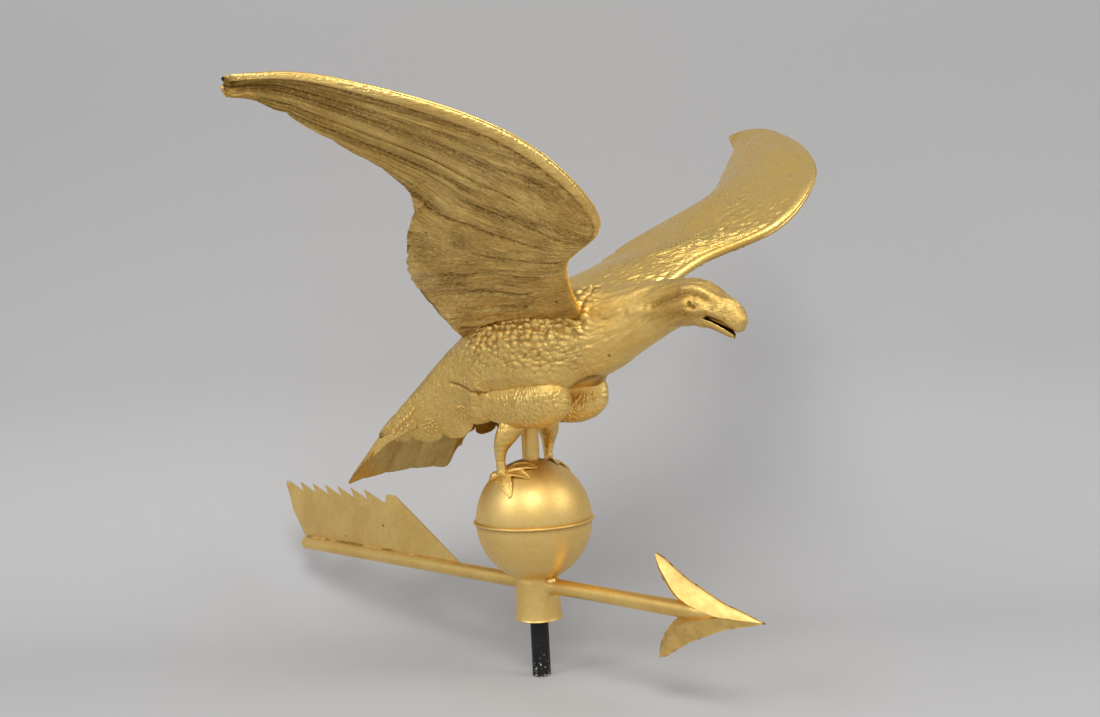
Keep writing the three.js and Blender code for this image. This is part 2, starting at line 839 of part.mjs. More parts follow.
function headHalfOfArrow() {
  const upper = headBarb();
  const lower = upper.clone();
  lower.scale(1, 1, -1);
  const both = join(upper, facingOut(lower));
  both.translate(0, 0, ballCentre - shaftDrop);
  const socket = disc(shaftRadius + seatGap, 0, headTip - headSocketShare * headLength + seatGap, shaftSides);
  return cut(both, alongX(socket, 0));
}

// Fletching: x back from the axis and height over the shaft, as shares
const rearEdgeShares = [[1, 0.9], [0.989, 0.75], [0.975, 0.47], [0.95, 0.24]];
const bumpShares = [[0.551, 0.8], [0.543, 0.95], [0.526, 0.965], [0.505, 0.95]];
function fletching() {
  const foot = ballCentre - shaftDrop + shaftRadius + seatGap;
  const at = ([along, up]) => new THREE.Vector2(-along * fletchingRear, foot + up * fletchingHeight);
  const points = [new THREE.Vector2(-fletchingFront, foot), new THREE.Vector2(-fletchingFoot, foot)];
  points.push(...[...rearEdgeShares].reverse().map(at));
  const top = foot + fletchingHeight;
  points.push(new THREE.Vector2(-fletchingRear, top));
  for (let i = 0; i < barbCount; i++) {
    const valley = -barbFirst + i * barbPitch;
    points.push(new THREE.Vector2(valley, top - barbDepth));
    points.push(new THREE.Vector2(valley - barbLean, top));
  }
  points.push(...bumpShares.map(at));
  const cutting = { depth: fletchingSheet, bevelEnabled: false };
  const plate = new THREE.ExtrudeGeometry(new THREE.Shape(points), cutting);
  plate.translate(0, 0, -fletchingSheet / 2);
  plate.rotateX(Math.PI / 2);
  return plain(plate);
}

// Wing spars: bent rods from the hub on the pivot tube out into the wings
const sparPlaceShares = [0.12, 0.2, 0.3];
const sparChordShare = 0.4;
function sparLine() {
  const hubTop = tubeTopAboveBall - sparSeat;
  const start = [0, sparHubDiameter / 2 - seatGap, hubTop - sparHubThickness / 2];
  const inWing = sparPlaceShares.map((along) => {
    const upper = new THREE.Vector3(...wingPoint(along, sparChordShare, 1, 0));
    const lower = new THREE.Vector3(...wingPoint(along, sparChordShare, -1, 0));
    return upper.add(lower).multiplyScalar(0.5).toArray();
  });
  return [start, ...inWing];
}

function spar(gap) {
  return limb(sparLine().map((point) => [...point, sparDiameter / 2 + gap]), rodSides);
}

function sparOnHub() {
  return cut(spar(0), disc(sparHubDiameter / 2 + seatGap, bellyHeight, tubeTopAboveBall, tubeSides));
}

function sparHub() {
  const top = tubeTop - sparSeat;
  return ring(tubeRadius + seatGap, sparHubDiameter / 2, top - sparHubThickness, top, tubeSides);
}

function sparNut() {
  const bottom = tubeTop - sparSeat + seatGap;
  const nut = disc(nutRadius, bottom, bottom + nutThickness, hexSides);
  return cut(nut, disc(tubeRadius + seatGap, bottom - cutOverrun, tubeTop, tubeSides));
}

// The assembly: a fixed mast, and the vane that turns on it
const mast = new THREE.Group();
mast.add(named('spindle_rod', spindle(), iron));
mast.add(named('pivot_ball', pivotBall(), steel));

const hub = new THREE.Group();
hub.add(named('hub_collar', cut(collar(), ballAbove()), gilt));
hub.add(named('hub_bushing', bushing(), brass));
hub.add(named('pivot_tube', ring(tubeRadius - tubeWall, tubeRadius, tubeBottom, tubeTop, tubeSides), gilt));
hub.add(named('pivot_cap', pivotCap(), brass));
hub.add(named('spar_hub', sparHub(), brass));
hub.add(named('spar_nut', sparNut(), brass));

const arrow = new THREE.Group();
arrow.add(named('arrow_shaft_front', frontShaft(), gilt));
arrow.add(named('arrow_shaft_rear', rearShaft(), gilt));
arrow.add(named('arrow_shaft_plug', shaftPlug(), gilt));
arrow.add(named('arrow_fletching', fletching(), gilt));
const arrowHead = headHalfOfArrow();
arrow.add(named('arrow_head_left_half', arrowHead, giltBright));
arrow.add(named('arrow_head_right_half', mirrored(arrowHead), giltBright));

const bird = new THREE.Group();
bird.position.z = ballCentre;
bird.add(named('ball_upper_half', ballHalf(1), giltBright));
bird.add(named('ball_lower_half', ballHalf(-1), giltBright));
bird.add(named('ball_seam_bead', ballBead(), gilt));
bird.add(named('lower_beak', lowerBeak(), gilt));
bird.add(named('tail_fan', tailFan(), gilt));

const tubeHole = disc(tubeRadius + seatGap, 0, bellyHeight + tubeDiameter, tubeSides);
const sidePieces = {
  body: cut(bodyHalf(), tubeHole, spar(seatGap)),
  head: headHalf(),
  thigh: thigh(),
  leg: leg(),
  wing_upper_skin: wingSkin(1),
  wing_lower_skin: wingSkin(-1),
  wing_spar: sparOnHub(),
};
for (const [piece, geometry] of Object.entries(sidePieces)) {
  const finish = piece === 'wing_spar' ? brass : gilt;
  const name = (side) => (['body', 'head'].includes(piece) ? `${piece}_${side}_half` : `${side}_${piece}`);
  bird.add(named(name('left'), geometry, finish));
  bird.add(named(name('right'), mirrored(geometry), finish));
}

const vane = new THREE.Group();
vane.add(hub, arrow, bird);

const weathervane = new THREE.Group();
weathervane.add(mast, vane);
export default weathervane;
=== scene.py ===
# %% [markdown]
# # A gilded eagle weathervane
# The real vane is pressed copper sheet, soldered together from halves and covered in gold
# leaf. An eagle stands on a ball, the ball sits on a collar with an arrow through it, and
# all of it turns on a black iron spindle. This lesson dresses a finished CAD model of it.
# The CAD part stays the frame: every new piece is made where the CAD says and turns with it.

# %% Load the frame
import json
import math

import bpy
import numpy as np
from mathutils import Matrix, Vector
from mathutils.bvhtree import BVHTree

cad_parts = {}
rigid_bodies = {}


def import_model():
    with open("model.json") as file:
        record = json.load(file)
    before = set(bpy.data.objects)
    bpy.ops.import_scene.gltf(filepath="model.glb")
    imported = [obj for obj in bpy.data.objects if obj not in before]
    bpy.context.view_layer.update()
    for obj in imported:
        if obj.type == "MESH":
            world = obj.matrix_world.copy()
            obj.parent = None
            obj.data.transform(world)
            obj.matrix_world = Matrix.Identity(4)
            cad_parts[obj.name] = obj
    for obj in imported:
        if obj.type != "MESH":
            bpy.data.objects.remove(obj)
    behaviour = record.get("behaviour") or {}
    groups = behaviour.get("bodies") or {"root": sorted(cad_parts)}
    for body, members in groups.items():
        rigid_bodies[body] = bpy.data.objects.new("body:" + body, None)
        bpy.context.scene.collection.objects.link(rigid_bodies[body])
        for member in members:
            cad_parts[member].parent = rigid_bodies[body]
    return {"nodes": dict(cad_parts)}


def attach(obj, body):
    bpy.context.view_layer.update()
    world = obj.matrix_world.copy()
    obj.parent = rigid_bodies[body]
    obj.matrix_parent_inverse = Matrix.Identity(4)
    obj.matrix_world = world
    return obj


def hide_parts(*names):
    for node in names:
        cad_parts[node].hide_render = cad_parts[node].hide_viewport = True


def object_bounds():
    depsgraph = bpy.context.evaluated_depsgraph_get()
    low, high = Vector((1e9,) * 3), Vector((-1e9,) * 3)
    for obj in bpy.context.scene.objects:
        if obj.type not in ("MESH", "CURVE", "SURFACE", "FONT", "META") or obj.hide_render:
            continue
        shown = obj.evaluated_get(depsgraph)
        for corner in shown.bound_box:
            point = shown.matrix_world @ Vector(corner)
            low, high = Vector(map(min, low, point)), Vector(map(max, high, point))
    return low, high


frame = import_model()
cad_low, cad_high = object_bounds()
scene = bpy.context.scene
print("nodes:", len(frame["nodes"]), "box:", [round(v, 3) for v in (*cad_low, *cad_high)])

# %% [markdown]
# ## Camera
# The photograph was taken from the bird's right front, a little above the ball. The three
# directions below are the camera's right, up and back, found by matching the outline of the
# part to the photograph. They become the columns of the camera's turn.

# %% Camera
camera_place = Vector((0.87294, -0.87492, 0.38994))
camera_right = (0.72266, 0.68943, -0.04940)
camera_up = (0.00203, 0.06935, 0.99759)
camera_back = (0.69120, -0.72102, 0.04872)
bpy.ops.object.camera_add()
camera = bpy.context.object
camera.name = "camera"
camera.data.sensor_width = 36
camera.data.lens = 39.27
camera.data.clip_end = 50
turn = Matrix((camera_right, camera_up, camera_back)).transposed()
camera.matrix_world = Matrix.Translation(camera_place) @ turn.to_4x4()
scene.camera = camera
print("camera:", camera.data.lens, "mm lens,", round(camera_place.length, 3), "m from the origin")

# %% [markdown]
# ## Helpers for points
# Sizes are given in millimetres, because that is how a maker thinks of sheet and rod, and
# are turned into metres when a mesh gets its points. The sheet pieces are grids laid on a
# form: the grid is a plain Blender primitive, and each of its points moves to its place.

# %% Helpers for points
MM = 0.001
ball_centre = 164.016  # over the floor, and the bird's own heights count from it
box_low = np.array(cad_low) / MM
box_high = np.array(cad_high) / MM


def deselect():
    bpy.ops.object.select_all(action="DESELECT")


def only(piece):
    """Select one piece and make it active, because operators act on all that is selected."""
    deselect()
    piece.select_set(True)
    bpy.context.view_layer.objects.active = piece


def read_points(piece):
    points = np.empty(len(piece.data.vertices) * 3)
    piece.data.vertices.foreach_get("co", points)
    return points.reshape(-1, 3) / MM


def write_points(piece, points):
    """Points in millimetres, kept inside the CAD model's box."""
    inside = np.clip(points, box_low, box_high)
    piece.data.vertices.foreach_set("co", (inside * MM).ravel())
    piece.data.update()


def write_attribute(piece, name, values):
    data = piece.data.attributes.new(name, "FLOAT", "POINT").data
    data.foreach_set("value", np.asarray(values, np.float32))


def write_flow(piece, along, across):
    """Where a point is along and across the feathers' fibres, for the fibre pattern."""
    data = piece.data.attributes.new("flow", "FLOAT_VECTOR", "POINT").data
    values = np.stack([along, across, np.zeros_like(along)], axis=1) * MM
    data.foreach_set("vector", values.astype(np.float32).ravel())


def apply_modifiers(piece):
    only(piece)
    for modifier in list(piece.modifiers):
        bpy.ops.object.modifier_apply(modifier=modifier.name)


def smooth_by_angle(piece, degrees=40):
    only(piece)
    bpy.ops.object.shade_smooth_by_angle(angle=math.radians(degrees))


def face_outwards(piece):
    only(piece)
    bpy.ops.object.mode_set(mode="EDIT")
    bpy.ops.mesh.select_all(action="SELECT")
    bpy.ops.mesh.normals_make_consistent(inside=False)
    bpy.ops.object.mode_set(mode="OBJECT")


# %% [markdown]
# ## Helpers for forms
# A few small functions shape everything by hand. `smooth_step` eases from 0 to 1, `mix` goes
# from one value to another, and `smooth_noise` gives soft random heights that are the same in
# each run, because they come from a sine and not from a random draw.

# %% Helpers for forms
def smooth_step(low, high, value):
    share = np.clip((value - low) / (high - low), 0, 1)
    return share * share * (3 - 2 * share)


def mix(a, b, share):
    return a + (b - a) * share


def wild(i, j, seed):
    """One random number from 0 to 1 for each cell of a pattern."""
    value = np.sin(i * 127.1 + j * 311.7 + seed * 74.7) * 43758.5453
    return value - np.floor(value)


def smooth_noise(x, y, seed):
    """Random heights from -1 to 1 at whole places, blended smoothly between them."""
    left, low = np.floor(x), np.floor(y)
    across, up = smooth_step(0, 1, x - left), smooth_step(0, 1, y - low)

    def height(i, j):
        return 2 * wild(left + i, low + j, seed) - 1

    below = mix(height(0, 0), height(1, 0), across)
    above = mix(height(0, 1), height(1, 1), across)
    return mix(below, above, up)


def table_at(table, place):
    """Rows between the rows of a table, on a smooth curve through them."""
    table, place = np.asarray(table, float), np.asarray(place, float)
    start = np.clip(np.floor(place).astype(int), 0, len(table) - 2)
    t = (place - start)[..., None]
    a, b, c, d = (table[np.clip(start + n, 0, len(table) - 1)] for n in (-1, 0, 1, 2))
    slope, next_slope = (c - a) / 2, (d - b) / 2
    bend = 3 * (c - b) - 2 * slope - next_slope
    twist = 2 * (b - c) + slope + next_slope
    return b + t * (slope + t * (bend + t * twist))


def lobe(place):
    """A row of round lobes: 1 in the middle of each and 0 between two of them."""
    across = 2 * (place - np.floor(place)) - 1
    return np.sqrt(np.clip(1 - across * across, 0, 1))


# %% [markdown]
# Brows, creases and dimples follow a line through a few places. The distance to that line
# says how much of the mound or hollow a point gets.

# %% Mounds along a line
def line_distance(points, line):
    """How far each point is from a line through a few places in space, in millimetres."""
    nearest = np.full(len(points), 1e9)
    for a, b in zip(line[:-1], line[1:]):
        a, b = np.array(a, float), np.array(b, float)
        along = np.clip((points - a) @ (b - a) / ((b - a) @ (b - a)), 0, 1)
        gap = points - a - along[:, None] * (b - a)
        nearest = np.minimum(nearest, np.linalg.norm(gap, axis=1))
    return nearest


def mound(points, line, reach):
    """A soft mound along a line: 1 on the line and 0 at its reach."""
    return smooth_step(reach, 0, line_distance(points, line))


# %% [markdown]
# ## Sheet laid on a form
# `form(s, t)` gives the smooth shape for s and t from 0 to 1. `relief(s, t, points)` gives
# the height of the feathers over it. Each point moves out along the form's own normal, as
# the sheet is pushed out in the press, so the feathers are real shape and not a picture.
# The low places are kept in an attribute named groove, where old toning stays in the gold. In a few places,
# noted where they are, the same attribute carries painted shade, and values below 0 keep parts light as
# painted highlight.
# The Solidify modifier gives the sheet its wall, with the second material on the inside.

# %% Sheet laid on a form
def form_normal(form, s, t):
    step = 2e-3
    along = form(np.minimum(s + step, 1), t) - form(np.maximum(s - step, 0), t)
    across = form(s, np.minimum(t + step, 1)) - form(s, np.maximum(t - step, 0))
    normal = np.cross(along, across)
    return normal / np.maximum(np.linalg.norm(normal, axis=1), 1e-9)[:, None]


def laid_sheet(name, along, across, form, relief, outward=1, thickness=0.9, spread=None, flow=None):
    """A grid of points laid on a form, raised by its relief, and given its thickness in mm."""
    deselect()
    bpy.ops.mesh.primitive_grid_add(x_subdivisions=along, y_subdivisions=across, size=2)
    piece = bpy.context.object
    piece.name = name
    flat = read_points(piece) * MM
    s, t = (flat[:, 0] + 1) / 2, (flat[:, 1] + 1) / 2
    if spread:
        s, t = spread(s, t)
    base = form(s, t)
    height, groove = relief(s, t, base)
    lift = np.array([0, 0, ball_centre])
    normal = form_normal(form, s, t) * outward
    write_points(piece, base + normal * height[:, None] + lift)
    write_attribute(piece, "groove", groove)
    if flow:
        write_flow(piece, *flow(s, t, base))
    facing = [face.normal.dot(Vector(normal[face.vertices[0]])) for face in piece.data.polygons]
    if np.median(facing) < 0:
        piece.data.flip_normals()
    for _ in ("outside", "inside"):
        piece.data.materials.append(None)
    wall = piece.modifiers.new("wall", "SOLIDIFY")
    wall.thickness = thickness * MM
    wall.offset = -1
    wall.use_even_offset = False
    wall.material_offset = 1
    apply_modifiers(piece)
    write_points(piece, read_points(piece))
    bpy.ops.object.shade_smooth()
    return piece


# %% [markdown]
# The right and left halves come from mirrored moulds, so a left piece is copied and turned
# over in its mesh. A mirror turns the faces inside out, so they are flipped back.

# %% Mirrored copies and finished pieces
def mirrored_copy(piece, name):
    """The other side's piece, struck in the mirrored mould."""
    only(piece)
    bpy.ops.object.duplicate()
    copy = bpy.context.object
    copy.name = name
    copy.data.transform(Matrix.Scale(-1, 4, (0, 1, 0)))
    copy.data.flip_normals()
    return copy


def finish_piece(piece, nodes, material, body="vane", inside=None):
    """Give a piece its materials, let it ride on its body and stand for its CAD nodes."""
    wanted = [face.material_index for face in piece.data.polygons]
    piece.data.materials.clear()
    piece.data.materials.append(material)
    if max(wanted) > 0 or inside:
        piece.data.materials.append(inside or bare_copper)
    piece.data.polygons.foreach_set("material_index", wanted)
    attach(piece, body)
    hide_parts(*nodes)
    print(piece.name, "stands for", ", ".join(nodes), "with", len(piece.data.polygons), "faces")


# %% [markdown]
# ## Effects that the metals share
# Gold leaf isn't one flat yellow. It is warmer and browner where varnish and dirt stay in
# low places, it has cloudy patches, and it is scuffed and specked. Each effect is a node
# group, built once, with named inputs, so each metal below can use its own amounts.

# %% Node group helpers
def new_group(name, inputs, outputs):
    group = bpy.data.node_groups.new(name, "ShaderNodeTree")
    for label, kind, value in inputs:
        socket = group.interface.new_socket(label, in_out="INPUT", socket_type=kind)
        if value is not None:
            socket.default_value = value
    for label, kind in outputs:
        group.interface.new_socket(label, in_out="OUTPUT", socket_type=kind)
    return group, group.nodes.new("NodeGroupInput"), group.nodes.new("NodeGroupOutput")


def math_node(tree, operation, a, b=None, clamp=False):
    node = tree.nodes.new("ShaderNodeMath")
    node.operation = operation
    node.use_clamp = clamp
    for socket, value in zip(node.inputs, (a, b)):
        if value is None:
            continue
        if isinstance(value, (int, float)):
            socket.default_value = value
        else:
            tree.links.new(value, socket)
    return node.outputs[0]


def noise_node(tree, vector, scale, detail=2, roughness=0.5):
    node = tree.nodes.new("ShaderNodeTexNoise")
    node.inputs["Detail"].default_value = detail
    node.inputs["Roughness"].default_value = roughness
    if isinstance(scale, (int, float)):
        node.inputs["Scale"].default_value = scale
    else:
        tree.links.new(scale, node.inputs["Scale"])
    tree.links.new(vector, node.inputs["Vector"])
    return node.outputs["Fac"]


def range_node(tree, value, low, high, to_low=0.0, to_high=1.0):
    node = tree.nodes.new("ShaderNodeMapRange")
    node.interpolation_type = "SMOOTHSTEP"
    tree.links.new(value, node.inputs["Value"])
    ends = {"From Min": low, "From Max": high, "To Min": to_low, "To Max": to_high}
    for label, number in ends.items():
        node.inputs[label].default_value = number
    return node.outputs["Result"]


def colour_mix(tree, share, a, b, blend="MIX"):
    node = tree.nodes.new("ShaderNodeMix")
    node.data_type = "RGBA"
    node.blend_type = blend
    if isinstance(share, (int, float)):
        node.inputs["Factor"].default_value = share
    else:
        tree.links.new(share, node.inputs["Factor"])
    for label, value in (("A", a), ("B", b)):
        socket = next(i for i in node.inputs if i.name == label and i.type == "RGBA")
        if isinstance(value, tuple):
            socket.default_value = value
        else:
            tree.links.new(value, socket)
    return next(o for o in node.outputs if o.type == "RGBA")


# %% [markdown]
# The first group clouds the gold: large soft patches between a light and a toned gold, and
# the toning that the groove attribute asks for, which in a few places is painted shade. It puts out the
# colour and the roughness.

# %% Clouded gold group
def build_clouded_gold():
    group, given, put = new_group(
        "clouded_gold",
        [("Light gold", "NodeSocketColor", None), ("Toned gold", "NodeSocketColor", None),
         ("Groove colour", "NodeSocketColor", None), ("Groove", "NodeSocketFloat", 0.0),
         ("Cloud size", "NodeSocketFloat", 30.0), ("Smooth", "NodeSocketFloat", 0.3),
         ("Rough", "NodeSocketFloat", 0.45)],
        [("Color", "NodeSocketColor"), ("Roughness", "NodeSocketFloat")],
    )
    where = group.nodes.new("ShaderNodeTexCoord").outputs["Object"]
    cloud = noise_node(group, where, given.outputs["Cloud size"], 4, 0.6)
    cloud = range_node(group, cloud, 0.36, 0.66)
    mottle = range_node(group, noise_node(group, where, 260, 3, 0.6), 0.4, 0.75)
    share = math_node(group, "MULTIPLY_ADD", mottle, 0.35)
    group.links.new(math_node(group, "MULTIPLY", cloud, 0.65), share.node.inputs[2])
    base = colour_mix(group, share, given.outputs["Light gold"], given.outputs["Toned gold"])
    broken = math_node(group, "MULTIPLY", given.outputs["Groove"],
                       range_node(group, noise_node(group, where, 420, 2), 0.25, 0.6, 0.45, 1.0))
    colour = colour_mix(group, math_node(group, "MULTIPLY", broken, 1.0, clamp=True),
                        base, given.outputs["Groove colour"])
    rough = group.nodes.new("ShaderNodeMix")
    group.links.new(math_node(group, "MAXIMUM", share, broken), rough.inputs["Factor"])
    group.links.new(given.outputs["Smooth"], rough.inputs["A"])
    group.links.new(given.outputs["Rough"], rough.inputs["B"])
    group.links.new(colour, put.inputs["Color"])
    group.links.new(rough.outputs["Result"], put.inputs["Roughness"])
    return group


clouded_gold = build_clouded_gold()
print("group:", clouded_gold.name)

# %% [markdown]
# The second group gives small dark specks: pinholes in the leaf and flecks of old dirt. A
# Voronoi texture has one cell for each speck, and only a few of the cells get one.

# %% Specks group
def build_specks():
    group, given, put = new_group(
        "specks",
        [("Scale", "NodeSocketFloat", 90.0), ("Size", "NodeSocketFloat", 0.16),
         ("Share", "NodeSocketFloat", 0.2)],
        [("Mask", "NodeSocketFloat")],
    )
    where = group.nodes.new("ShaderNodeTexCoord").outputs["Object"]
    wobble = noise_node(group, where, 300, 2)
    moved = group.nodes.new("ShaderNodeVectorMath")
    moved.operation = "MULTIPLY_ADD"
    group.links.new(wobble, moved.inputs[0])
    moved.inputs[1].default_value = (0.004, 0.004, 0.004)
    group.links.new(where, moved.inputs[2])
    cells = group.nodes.new("ShaderNodeTexVoronoi")
    group.links.new(moved.outputs["Vector"], cells.inputs["Vector"])
    group.links.new(given.outputs["Scale"], cells.inputs["Scale"])
    near = math_node(group, "LESS_THAN", cells.outputs["Distance"], given.outputs["Size"])
    pick = group.nodes.new("ShaderNodeSeparateColor")
    group.links.new(cells.outputs["Color"], pick.inputs["Color"])
    chosen = math_node(group, "LESS_THAN", pick.outputs["Red"], given.outputs["Share"])
    group.links.new(math_node(group, "MULTIPLY", near, chosen), put.inputs["Mask"])
    return group


specks = build_specks()
print("group:", specks.name)

# %% [markdown]
# The third group draws the fibres of the long feathers, which were chased into the mould as
# fine strokes. The flow attribute says where a point is along and across the feathers, so the
# strokes follow them on every wing. Noise that is stretched along the flow gives the strokes.

# %% Fibres group
def build_fibres():
    group, given, put = new_group(
        "fibres",
        [("Length", "NodeSocketFloat", 14.0), ("Width", "NodeSocketFloat", 1.3)],
        [("Mask", "NodeSocketFloat")],
    )
    flow = group.nodes.new("ShaderNodeAttribute")
    flow.attribute_name = "flow"
    part = group.nodes.new("ShaderNodeSeparateXYZ")
    group.links.new(flow.outputs["Vector"], part.inputs[0])
    strokes = []
    for finer in (1.0, 2.3):
        place = group.nodes.new("ShaderNodeCombineXYZ")
        for label, given_name in (("X", "Length"), ("Y", "Width")):
            count = math_node(group, "DIVIDE", 1000.0 * finer, given.outputs[given_name])
            counted = math_node(group, "MULTIPLY", part.outputs[label], count)
            group.links.new(counted, place.inputs[label])
        strokes.append(noise_node(group, place.outputs[0], 1.0, 2, 0.6))
    both = math_node(group, "ADD", math_node(group, "MULTIPLY", strokes[0], 0.6),
                     math_node(group, "MULTIPLY", strokes[1], 0.4))
    group.links.new(range_node(group, both, 0.34, 0.66), put.inputs["Mask"])
    return group


fibres = build_fibres()
print("group:", fibres.name)

# %% [markdown]
# The fourth group is the leaf's surface itself: shallow dents in the sheet, fine ripples from
# the brush and the glue under the leaf, and the fibres' depth. Three Bump nodes in a row add
# them up, and the last one puts out a normal for the shader.

# %% Leaf surface group
def build_leaf_surface():
    group, given, put = new_group(
        "leaf_surface",
        [("Ripple", "NodeSocketFloat", 0.2), ("Dent", "NodeSocketFloat", 0.1),
         ("Fibres", "NodeSocketFloat", 0.5), ("Fibre depth", "NodeSocketFloat", 0.0)],
        [("Normal", "NodeSocketVector")],
    )
    where = group.nodes.new("ShaderNodeTexCoord").outputs["Object"]
    fine = noise_node(group, where, 900, 3, 0.6)
    wide = noise_node(group, where, 70, 2, 0.5)
    dents = group.nodes.new("ShaderNodeBump")
    dents.inputs["Distance"].default_value = 0.004
    group.links.new(given.outputs["Dent"], dents.inputs["Strength"])
    group.links.new(wide, dents.inputs["Height"])
    ripples = group.nodes.new("ShaderNodeBump")
    ripples.inputs["Distance"].default_value = 0.0004
    group.links.new(given.outputs["Ripple"], ripples.inputs["Strength"])
    group.links.new(fine, ripples.inputs["Height"])
    group.links.new(dents.outputs["Normal"], ripples.inputs["Normal"])
    strands = group.nodes.new("ShaderNodeBump")
    strands.inputs["Distance"].default_value = 0.0006
    group.links.new(given.outputs["Fibre depth"], strands.inputs["Strength"])
    group.links.new(given.outputs["Fibres"], strands.inputs["Height"])
    group.links.new(ripples.outputs["Normal"], strands.inputs["Normal"])
    group.links.new(strands.outputs["Normal"], put.inputs["Normal"])
    return group


leaf_surface = build_leaf_surface()
print("group:", leaf_surface.name)

# %% [markdown]
# ## Metals
# One recipe makes all the gilded metals from these groups. The Principled shader stays in
# the material itself, and what is the same all over, such as Metallic, is set on its socket.

# %% Gilded metals
def group_node(tree, group, **values):
    node = tree.nodes.new("ShaderNodeGroup")
    node.node_tree = group
    for label, value in values.items():
        node.inputs[label.replace("_", " ").capitalize()].default_value = value
    return node


def new_material(name):
    material = bpy.data.materials.new(name)
    material.use_nodes = True
    tree = material.node_tree
    shader = next(n for n in tree.nodes if n.type == "BSDF_PRINCIPLED")
    return material, tree, shader


def gilded(name, light, toned, groove, clouds, smooth, rough, ripple, dent,
           speck_scale=90, speck_size=0.16, speck_share=0.12, fibre=None):
    """fibre gives the strokes' length and width in mm, their toning and their depth."""
    material, tree, shader = new_material(name)
    attribute = tree.nodes.new("ShaderNodeAttribute")
    attribute.attribute_name = "groove"
    gold = group_node(tree, clouded_gold, light_gold=light, toned_gold=toned, groove_colour=groove,
                      cloud_size=clouds, smooth=smooth, rough=rough)
    speck = group_node(tree, specks, scale=speck_scale, size=speck_size, share=speck_share)
    surface = group_node(tree, leaf_surface, ripple=ripple, dent=dent)
    grooves = attribute.outputs["Fac"]
    if fibre:
        length, width, tone, depth = fibre
        strokes = group_node(tree, fibres, length=length, width=width)
        low = math_node(tree, "SUBTRACT", 1.0, strokes.outputs["Mask"])
        grooves = math_node(tree, "ADD", grooves, math_node(tree, "MULTIPLY", low, tone), clamp=True)
        tree.links.new(strokes.outputs["Mask"], surface.inputs["Fibres"])
        surface.inputs["Fibre depth"].default_value = depth
    tree.links.new(grooves, gold.inputs["Groove"])
    dark = (groove[0] * 0.35, groove[1] * 0.3, groove[2] * 0.25, 1)
    colour = colour_mix(tree, math_node(tree, "MULTIPLY", speck.outputs["Mask"], 0.75),
                        gold.outputs["Color"], dark)
    tree.links.new(colour, shader.inputs["Base Color"])
    tree.links.new(gold.outputs["Roughness"], shader.inputs["Roughness"])
    tree.links.new(surface.outputs["Normal"], shader.inputs["Normal"])
    shader.inputs["Metallic"].default_value = 1.0
    return material


# %% [markdown]
# Each gilded part gets its own mix. The plumage is bright with short fibres, the upper side of
# the wing is a little lighter, which is painted light, the undersides are brown, which is painted
# shade, and deeply grooved, the ball is smooth and even, and the flat sheets are dull.

# %% The gilded finishes
light_gold = (0.95, 0.665, 0.22, 1)
toned_gold = (0.80, 0.52, 0.14, 1)
groove_brown = (0.34, 0.19, 0.04, 1)
umber = (0.27, 0.15, 0.035, 1)
gilt = gilded("gilt_leaf", light_gold, toned_gold, groove_brown, clouds=26, smooth=0.33, rough=0.48,
              ripple=0.3, dent=0.2, speck_share=0.05, fibre=(13, 3.2, 0.3, 0.5))
gilt_plumage = gilded("gilt_plumage", light_gold, (0.88, 0.58, 0.165, 1), groove_brown, clouds=22,
                      smooth=0.22, rough=0.46, ripple=0.6, dent=0.08,
                      speck_share=0.04, fibre=(7, 1.8, 0.22, 0.4))
gilt_top_painted_light = gilded("gilt_upper_wing_painted_light", (1.0, 0.70, 0.22, 1), (0.90, 0.61, 0.17, 1), groove_brown,
                  clouds=24, smooth=0.22, rough=0.45, ripple=0.5, dent=0.08,
                  speck_share=0.04, fibre=(7, 1.8, 0.18, 0.4))
gilt_under_painted_shade = gilded("gilt_under_wing_painted_shade", (0.99, 0.70, 0.23, 1), (0.70, 0.45, 0.13, 1), umber,
                    clouds=22, smooth=0.24, rough=0.50, ripple=0.5, dent=0.1,
                    speck_share=0.05, fibre=(8, 2.0, 0.62, 1.1))
gilt_tail_painted_shade = gilded("gilt_under_tail_painted_shade", (0.92, 0.63, 0.20, 1), (0.68, 0.43, 0.12, 1), umber,
                   clouds=30, smooth=0.30, rough=0.50, ripple=0.3, dent=0.08,
                   speck_share=0.04, fibre=(16, 3.4, 0.25, 0.3))
gilt_ball = gilded("gilt_ball", (0.91, 0.66, 0.25, 1), (0.82, 0.54, 0.16, 1), groove_brown,
                   clouds=12, smooth=0.40, rough=0.50, ripple=0.05, dent=0.03,
                   speck_size=0.12, speck_share=0.05)
gilt_flat = gilded("gilt_flat_sheet", (0.90, 0.635, 0.22, 1), (0.74, 0.49, 0.15, 1), groove_brown,
                   clouds=18, smooth=0.38, rough=0.50, ripple=0.15, dent=0.08,
                   speck_scale=80, speck_size=0.12, speck_share=0.08)
solder = gilded("gilt_solder", (0.95, 0.72, 0.32, 1), light_gold, groove_brown,
                clouds=40, smooth=0.18, rough=0.32, ripple=0.6, dent=0.5, speck_share=0.0)

# %% [markdown]
# Where the gold never came, the metal is bare: brown copper inside the sheets, and yellow
# brass in the fittings. Inside the beak the copper is nearly black, which is painted shade in the mouth.
# The same recipe makes them.

